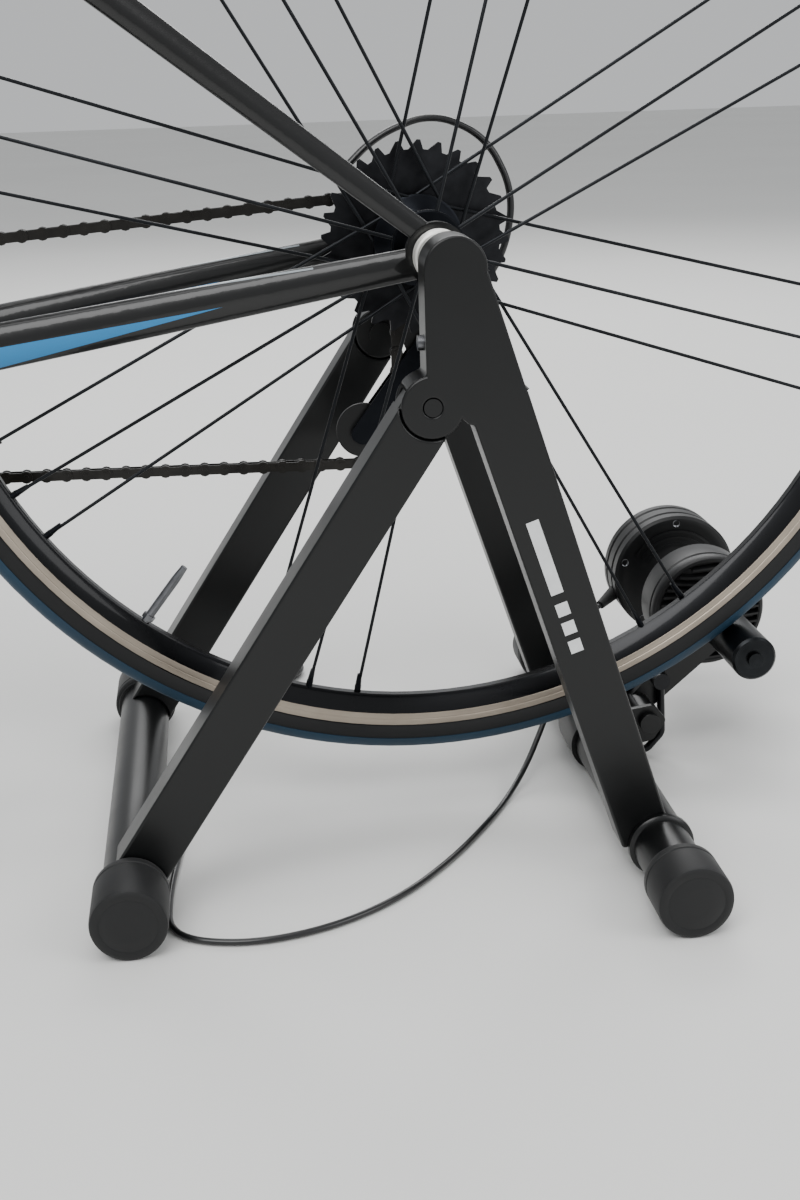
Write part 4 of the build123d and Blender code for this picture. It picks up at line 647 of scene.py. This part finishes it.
def buildUnit():
    size = {"faceY": 66.0, "finRadius": 41.0, "finDepth": 34.0, "louvres": 14, "lip": 5.0,
            "discY": 150.0, "discRadius": 47.0, "discDepth": 36.0}
    bm = bmesh.new()
    f, r, d = size["faceY"], size["finRadius"], size["finDepth"]
    spinRing(bm, rollerAxle, [  # body with a raised ring lip round the louvres
        (f - 24, 6.2), (f - 24, 11.4), (f - 22.6, 12), (f + 2, 12), (f + 2, r - size["lip"]),
        (f - 1.4, r - size["lip"] + 0.6), (f - 2, r - size["lip"] + 1.8), (f - 1.6, r - 1.4),
        (f + 0.6, r), (f + 7, r), (f + 7.8, r - 1), (f + 9.4, r - 1), (f + 10.2, r), (f + d - 3, r),
        (f + d - 0.8, r - 1), (f + d, r - 3), (f + d, 6.2)], steps=72)
    finishPiece("finCoverBody", bm, "resistance_arm", unitPlastic, ("fin_cover",))
    bm = bmesh.new()
    reach = r - size["lip"] + 0.6
    for number in range(size["louvres"]):  # wavy louvres that cool the magnet disc
        z = -reach + (number + 0.5) * 2 * reach / size["louvres"]
        half = math.sqrt(max(reach ** 2 - z ** 2, 9))
        boss = math.sqrt(max(12.4 ** 2 - z ** 2, 0))
        spans = ((-half, -boss), (boss, half)) if boss else ((-half, half),)
        for first, last in spans:
            cells = max(6, round((last - first) / 3))
            strip = bmesh.ops.create_grid(bm, x_segments=cells, y_segments=1, size=0.5)["verts"]
            bmesh.ops.scale(bm, vec=Vector((last - first, 6.4, 1)) * mm, verts=strip)
            bmesh.ops.translate(bm, vec=rollerAxle + Vector(((first + last) / 2, f + 0.2, z)) * mm,
                                verts=strip)
            for vert in strip:
                vert.co.z += 1.0 * mm * math.sin((vert.co.x - rollerAxle.x) / (9.5 * mm) + 0.5 * number)
                vert.co.z += 0.22 * (vert.co.y - rollerAxle.y - f * mm)
            faces = list({face for vert in strip for face in vert.link_faces})
            bmesh.ops.solidify(bm, geom=faces, thickness=1.5 * mm)
    finishPiece("coolingLouvres", bm, "resistance_arm", unitPlastic)
    bm = bmesh.new()
    f, r, d = size["discY"], size["discRadius"], size["discDepth"]
    spinRing(bm, rollerAxle, [
        (f - 50, 6.2), (f - 50, 15), (f - 2, 15), (f, 18), (f, r - 8), (f - 1, r - 6), (f - 0.6, r - 2),
        (f + 1.4, r), (f + 9, r), (f + 10, r - 1.2), (f + 12, r - 1.2), (f + 13, r), (f + 23, r),
        (f + 24, r - 1.2), (f + 26, r - 1.2), (f + 27, r), (f + d - 3, r), (f + d - 0.6, r - 2.2),
        (f + d, r - 5), (f + d - 1.4, r - 9), (f + d - 1.4, 20), (f + d, 18), (f + d, 6.2)], steps=80)
    finishPiece("magnetHousingBody", bm, "resistance_arm", unitPlastic, ("magnet_housing",))
    bm = bmesh.new()
    for radius in (24, 29, 34):  # raised arcs near the top of the housing's face, and round its back
        for face, start in ((f - 0.9, math.radians(-150)), (f + d - 1.6, math.radians(-140))):
            spinRing(bm, rollerAxle, [(face, radius), (face, radius + 2), (face + 1.4, radius + 2),
                                      (face + 1.4, radius)],
                     steps=22, turn=math.radians(110), start=start)
    finishPiece("housingArcRibs", bm, "resistance_arm", unitPlastic, sharp=30)
    bm = bmesh.new()
    for step in range(5):
        angle = math.radians(72 * step + 18)
        spot = rollerAxle + Vector((math.cos(angle), 0, math.sin(angle))) * 41.6 * mm
        addBolt(bm, spot + acrossAxis * (f + 0.4) * mm, -acrossAxis, 2.8, 1.6)
        addBolt(bm, spot + acrossAxis * (f + d - 0.6) * mm, acrossAxis, 2.8, 0.6)
    finishPiece("housingScrews", bm, "resistance_arm", boltSteel)


buildUnit()
print("resistance unit ready")


def filletRoute(points, radius, stepMm):  # straight runs joined by round bends, sampled evenly
    line = [points[0]]
    for before, corner, after in zip(points, points[1:], points[2:]):
        arrive, leave = (corner - before).normalized(), (after - corner).normalized()
        turn = arrive.angle(leave)
        back = radius * mm * math.tan(turn / 2)
        first, last = corner - arrive * back, corner + leave * back
        pull = (leave - arrive).normalized()
        centre = corner + pull * radius * mm / math.cos(turn / 2)
        for step in range(9):
            spoke = (first - centre).lerp(last - centre, step / 8)
            line.append(centre + spoke.normalized() * radius * mm)
    line.append(points[-1])
    even = [line[0]]
    for start, end in zip(line, line[1:]):
        count = max(1, round((end - start).length / (stepMm * mm)))
        even += [start.lerp(end, step / count) for step in range(1, count + 1)]
    return even


def buildTape():
    size = {"wrapMm": 11.0, "low": 13.4, "high": 14.8, "tapeStart": 70, "half": 200, "bend": 34,
            "plug": 14.2}
    barAxis = jointPlace["brake_lever_left_pull"] + Vector((148, 0, -10)) * mm
    bm = bmesh.new()
    for side in (-1, 1):
        y = side * size["half"] * mm
        route = [barAxis + Vector(place) for place in (
            (0, side * size["tapeStart"] * mm, 0), (0, y, 0), (-0.080, y, -0.006), (-0.086, y, -0.09375),
            (-0.040, y, -0.125), (0.046, y, -0.129))]
        wraps = filletRoute(route, size["bend"], size["wrapMm"])
        for start, end in zip(wraps, wraps[1:]):
            if (end - start).length > 2 * mm:
                reach = end + (end - start) * 0.3
                addBar(bm, start, reach, size["high"], 22, size["low"])
        addBar(bm, wraps[-1], wraps[-1] + (wraps[-1] - wraps[-2]).normalized() * 4 * mm, size["plug"], 22,
               11.5)
    finishPiece("barTapeWraps", bm, "steering", barTape)


def buildSaddle():
    size = {"voxelMm": 4.0, "smoothing": 10, "channelMm": 4.5, "wingDrop": 9.0, "tailLift": 5.0}
    lowCorner, highCorner = (Vector(corner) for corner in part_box("saddle"))
    length, half = highCorner.x - lowCorner.x, highCorner.y
    mesh = nodes["saddle"].data.copy()
    rough = bpy.data.objects.new("saddleRough", mesh)
    bpy.context.collection.objects.link(rough)
    bm = bmesh.new()
    bm.from_mesh(mesh)
    bmesh.ops.remove_doubles(bm, verts=bm.verts, dist=1e-6)
    bm.to_mesh(mesh)
    bm.free()
    remesh = rough.modifiers.new("voxels", "REMESH")
    remesh.mode = "VOXEL"
    remesh.voxel_size = size["voxelMm"] * mm
    soften = rough.modifiers.new("soften", "SMOOTH")
    soften.factor = 0.5
    soften.iterations = size["smoothing"]
    done = bpy.data.meshes.new_from_object(rough.evaluated_get(bpy.context.evaluated_depsgraph_get()))
    bpy.data.objects.remove(rough)
    bm = bmesh.new()
    bm.from_mesh(done)
    for vert in bm.verts:  # crowned top, dropped wings, raised tail and a shallow pressure channel
        along = (vert.co.x - lowCorner.x) / length
        out = abs(vert.co.y) / half
        top = (vert.co.z - lowCorner.z) / (highCorner.z - lowCorner.z)
        vert.co.z -= size["wingDrop"] * mm * out ** 2 * top
        vert.co.z += size["tailLift"] * mm * max(0, along - 0.75) * 4 * (1 - out) * top
        if 0.2 < along < 0.88 and top > 0.6:
            edge = min(1, (along - 0.2) / 0.12, (0.88 - along) / 0.12)
            vert.co.z -= size["channelMm"] * mm * edge * math.exp(-(vert.co.y / (7 * mm)) ** 2)
    piece = finishPiece("saddlePad", bm, "base", saddleSkin, ("saddle",), sharp=70)
    bpy.data.meshes.remove(done)
    finer = piece.modifiers.new("round", "SUBSURF")
    finer.levels = finer.render_levels = 1
    middleX = lowCorner.x + 160 * mm
    outline = [(-158, 0), (-144, 17), (-90, 22), (-40, 24), (10, 40), (50, 57), (84, 68), (108, 50),
               (110, 20)]
    outline += [(x, -y) for x, y in reversed(outline[1:])]
    for name, z, inset, radius in (("saddleShellEdge", 5.0, 0.985, 2.2), ("saddleWelt", 15.0, 1.0, 1.1)):
        points = [Vector((middleX + x * inset * mm, y * inset * mm, lowCorner.z + z * mm))
                  for x, y in outline]
        welt = smoothCurve(name, points, radius * mm)
        welt.data.splines[0].use_cyclic_u = True
        welt.data.materials.append(leverPlastic if radius > 2 else saddleSkin)
        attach(welt, "base")


def buildSmallParts():
    seatWay = Vector((0.248783, 0, 0.968558))
    steerWay = Vector((0.257225, 0, 0.966352))
    seatTop = Vector((0.21395, 0, 0.7815))
    headMiddle = centreLine("head_tube")
    bm = bmesh.new()
    addBar(bm, seatTop - seatWay * 15 * mm, seatTop - seatWay * 1 * mm, 18.6, 40)
    addBar(bm, seatTop - seatWay * 1 * mm, seatTop + seatWay * 1.5 * mm, 18.0, 40, 16.6)
    addBar(bm, seatTop + Vector((17, -9, -6)) * mm, seatTop + Vector((17, 9, -6)) * mm, 4.2, 16)
    addBolt(bm, seatTop + Vector((19, 8.6, -6)) * mm, acrossAxis, 3.4, 3)
    finishPiece("seatClamp", bm, "base", blackAlloy)
    bm = bmesh.new()
    addBar(bm, headMiddle + steerWay * 66 * mm, headMiddle + steerWay * 71.4 * mm, 22.6, 44)
    addBar(bm, headMiddle - steerWay * 71 * mm, headMiddle - steerWay * 66 * mm, 22.6, 44)
    finishPiece("headsetCups", bm, "base", blackAlloy)
    bm = bmesh.new()
    for step in range(5):
        angle = 2 * math.pi * step / 5 + 0.3
        spot = crankAxle + Vector((math.cos(angle), 0, math.sin(angle))) * 55 * mm
        addBolt(bm, spot + acrossAxis * 68.2 * mm, acrossAxis, 4.6, 1.4)
    for side in (-1, 1):
        addBolt(bm, crankAxle + acrossAxis * side * 75.4 * mm, acrossAxis * side, 12.4, 2.2)
    finishPiece("crankBolts", bm, "crankset", boltSteel)


buildTape()
buildSaddle()
buildSmallParts()
print("saddle, tape and small parts ready")

breaks = {  # node: body it turns with, slot, finish, mm taken off its sharp edges
    "roller_bracket": ("base", "stand_paint", standPaint, 0.8),
    "unit_yoke": ("resistance_arm", "stand_paint", standPaint, 1.0),
    "crank_left": ("crankset", "crank_alloy", forgedAlloy, 2.6),
    "stem": ("steering", "crank_alloy", forgedAlloy, 1.0),
    "rear_derailleur": ("base", "crank_alloy", forgedAlloy, 1.4),
    "derailleur_cage": ("cage", "crank_alloy", blackAlloy, 0.25),
    "front_derailleur": ("base", "crank_alloy", forgedAlloy, 0.5),
    "pedal_left": ("left_pedal", "crank_alloy", blackAlloy, 1.2),
    "pedal_right": ("right_pedal", "crank_alloy", blackAlloy, 1.2),
    "shifter_hoods": ("steering", "bar_rubber", hoodRubber, 2.4),
    "seatpost": ("base", "carbon", blackAlloy, 0.6),
}
for source, (body, slotName, finish, rounding) in breaks.items():
    roundedCopy(source, body, finish, rounding)
for side in ("near", "far"):  # bent from flat steel, with a visible round along each corner
    roundedCopy("rear_leg_" + side, "base", standPaint, 1.6, limited=False)
    roundedCopy("front_leg_" + side, "front_frame", standPaint, 1.6, limited=False)

finishes = {  # nodes whose own shape is right
    "chainstays": chainstayPaint, "seatstays": seatstayPaint, "seat_tube": plainFrame,
    "down_tube": tubePaint, "top_tube": plainFrame, "head_tube": plainFrame, "fork": plainFrame,
    "rear_spokes": spokeSteel, "front_hub": spokeSteel, "cassette": sprocketSteel,
    "chainrings": sprocketSteel, "crank_right": forgedAlloy, "jockey_upper": unitPlastic,
    "jockey_lower": unitPlastic, "rear_skewer": boltSteel, "saddle_rails": boltSteel,
    "gear_cable_loop": cableOuter, "tension_rod": blackWire, "cable_gland": capRubber,
    "roller": rollerSteel, "flywheel": rollerSteel, "clamp_screw": boltSteel,
    "remote_lever": leverPlastic, "handlebar": blackAlloy, "brake_lever_left": blackAlloy,
    "brake_lever_right": blackAlloy, "rear_brake": forgedAlloy, "fold_pins": standPaint,
    "front_foot_bar": standPaint, "rear_foot_bar": standPaint}
for node in nodes.values():
    node.data.materials.clear()
    node.data.materials.append(finishes.get(node.name, plainFrame))
print("frame finishes ready")


remoteCable = {"radius": 2.0, "coilRadius": 20.0, "coilTurns": 4, "floor": 2.05}


def glandEnd():  # the gland's tip, along its own slant from the middle of its root
    slant = Vector((-0.75, -0.58, -0.32)).normalized()
    start = rollerAxle + Vector((-0.94 * 42, 168, -0.34 * 42)) * mm
    return start + slant * 24 * mm, slant


def cableRoute():
    tip, slant = glandEnd()
    floor = remoteCable["floor"]
    points = [tip, tip + slant * 23 * mm]
    for x, y, z in ((128, 112, 57), (112, 84, 50), (97, 56, 41), (82, 30, 27), (66, 5, 11), (47, -24, floor),
                    (28, -56, floor), (-4, -102, floor), (-42, -143, floor), (-86, -169, floor),
                    (-134, -178, floor), (-177, -163, floor), (-178, -115, floor), (-172, -60, floor),
                    (-165, -4, floor), (-156, 52, floor), (-146, 104, floor), (-136, 155, floor),
                    (-123, 199, floor), (-116, 240, floor)):
        points.append(Vector((rearAxle.x + x * mm, y * mm, z * mm)))
    return points


def coilTurns(points):
    # the put-away turns, beside and on each other, each one a little different
    heading = (points[-1] - points[-2]).normalized()
    side = Vector((heading.y, -heading.x, 0))
    radius = remoteCable["coilRadius"] * mm
    centre = points[-1] + side * radius
    layout = ((0.0, 2.05), (2.1, 4.6), (-2.0, 5.9), (0.6, 7.9))  # mm outwards, mm above the floor
    turns = []
    steps = 14
    first = math.atan2(-side.y, -side.x)
    for turn in range(remoteCable["coilTurns"]):
        out, height = layout[turn]
        for step in range(1, steps + 1):
            share = step / steps
            nextOut, nextHeight = layout[min(turn + 1, len(layout) - 1)]
            r = radius + (out + (nextOut - out) * share ** 3) * mm
            z = (height + (nextHeight - height) * share ** 3) * mm
            angle = first - 2 * math.pi * share
            turns.append(Vector((centre.x + r * math.cos(angle), centre.y + r * math.sin(angle), z)))
    return turns


def lineLength(piece):
    bare = piece.data.copy()
    bare.bevel_depth = 0
    probe = bpy.data.objects.new("probe", bare)
    mesh = bpy.data.meshes.new_from_object(probe)
    total = sum((mesh.vertices[edge.vertices[0]].co - mesh.vertices[edge.vertices[1]].co).length
                for edge in mesh.edges)
    bpy.data.objects.remove(probe)
    bpy.data.curves.remove(bare)
    bpy.data.meshes.remove(mesh)
    return total


route = cableRoute()
remoteLine = smoothCurve("remoteCableLine", route + coilTurns(route), remoteCable["radius"] * mm)
remoteLine.data.materials.append(cableOuter)
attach(remoteLine, "base")
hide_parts("remote_cable", "remote_coil")
remoteLength = lineLength(remoteLine)
print("remote cable", round(remoteLength, 3), "m")


def buildStage():
    bm = bmesh.new()
    bmesh.ops.create_grid(bm, x_segments=1, y_segments=1, size=14)
    mesh = bpy.data.meshes.new("studioFloor")
    bm.to_mesh(mesh)
    bm.free()
    floor = bpy.data.objects.new("studioFloor", mesh)
    bpy.context.collection.objects.link(floor)
    floor.data.materials.append(layFinish(newMaterial("mattStudioFloor", specular=0.2), {
        "dark": "#d9d9d7", "light": "#e3e3e1", "blotchMm": 900, "rough": (0.7, 0.8),
        "grainMm": 4, "depthMm": 0.02, "relief": 0.1}))
    floor.location.z = -0.0005
    world = bpy.data.worlds.new("softRoom")
    world.use_nodes = True
    world.node_tree.nodes["Background"].inputs["Color"].default_value = hexColour("#eef0f2")
    world.node_tree.nodes["Background"].inputs["Strength"].default_value = 0.7
    bpy.context.scene.world = world


def areaLight(name, place, target, size, power, colour="#ffffff"):
    light = bpy.data.lights.new(name, "AREA")
    light.shape = "RECTANGLE"
    light.size, light.size_y = size
    light.energy = power
    light.color = hexColour(colour)[:3]
    lamp = bpy.data.objects.new(name, light)
    lamp.location = place
    lamp.rotation_euler = (Vector(target) - Vector(place)).to_track_quat("-Z", "Y").to_euler()
    bpy.context.collection.objects.link(lamp)


def buildCamera():
    yaw, tip, roll = math.radians(6.585), math.radians(19.167), math.radians(-1.783)
    ahead = Vector((math.sin(yaw) * math.cos(tip), math.cos(yaw) * math.cos(tip), -math.sin(tip)))
    level = Vector((math.cos(yaw), -math.sin(yaw), 0))
    above = level.cross(ahead)
    right = level * math.cos(roll) + above * math.sin(roll)
    top = above * math.cos(roll) - level * math.sin(roll)
    data = bpy.data.cameras.new("viewCamera")
    data.lens = 46.07
    data.sensor_width = 36
    data.clip_start = 0.02
    camera = bpy.data.objects.new("viewCamera", data)
    turn = Matrix((right, top, -ahead)).transposed().to_4x4()
    camera.matrix_world = Matrix.Translation(rearAxle + Vector((-128.08, -944.80, 100.99)) * mm) @ turn
    bpy.context.collection.objects.link(camera)
    bpy.context.scene.camera = camera


buildStage()
areaLight("keyLight", (-0.6, -1.9, 2.6), rearAxle, (2.2, 1.6), 70)
areaLight("fillLight", (2.6, -1.4, 1.6), rearAxle, (1.6, 1.6), 26)
areaLight("backLight", (0.9, 2.6, 2.2), rearAxle, (2.6, 1.2), 60)
areaLight("topLight", (0.2, 0.2, 3.2), rearAxle, (2.4, 2.4), 40)
buildCamera()
print("stage ready")
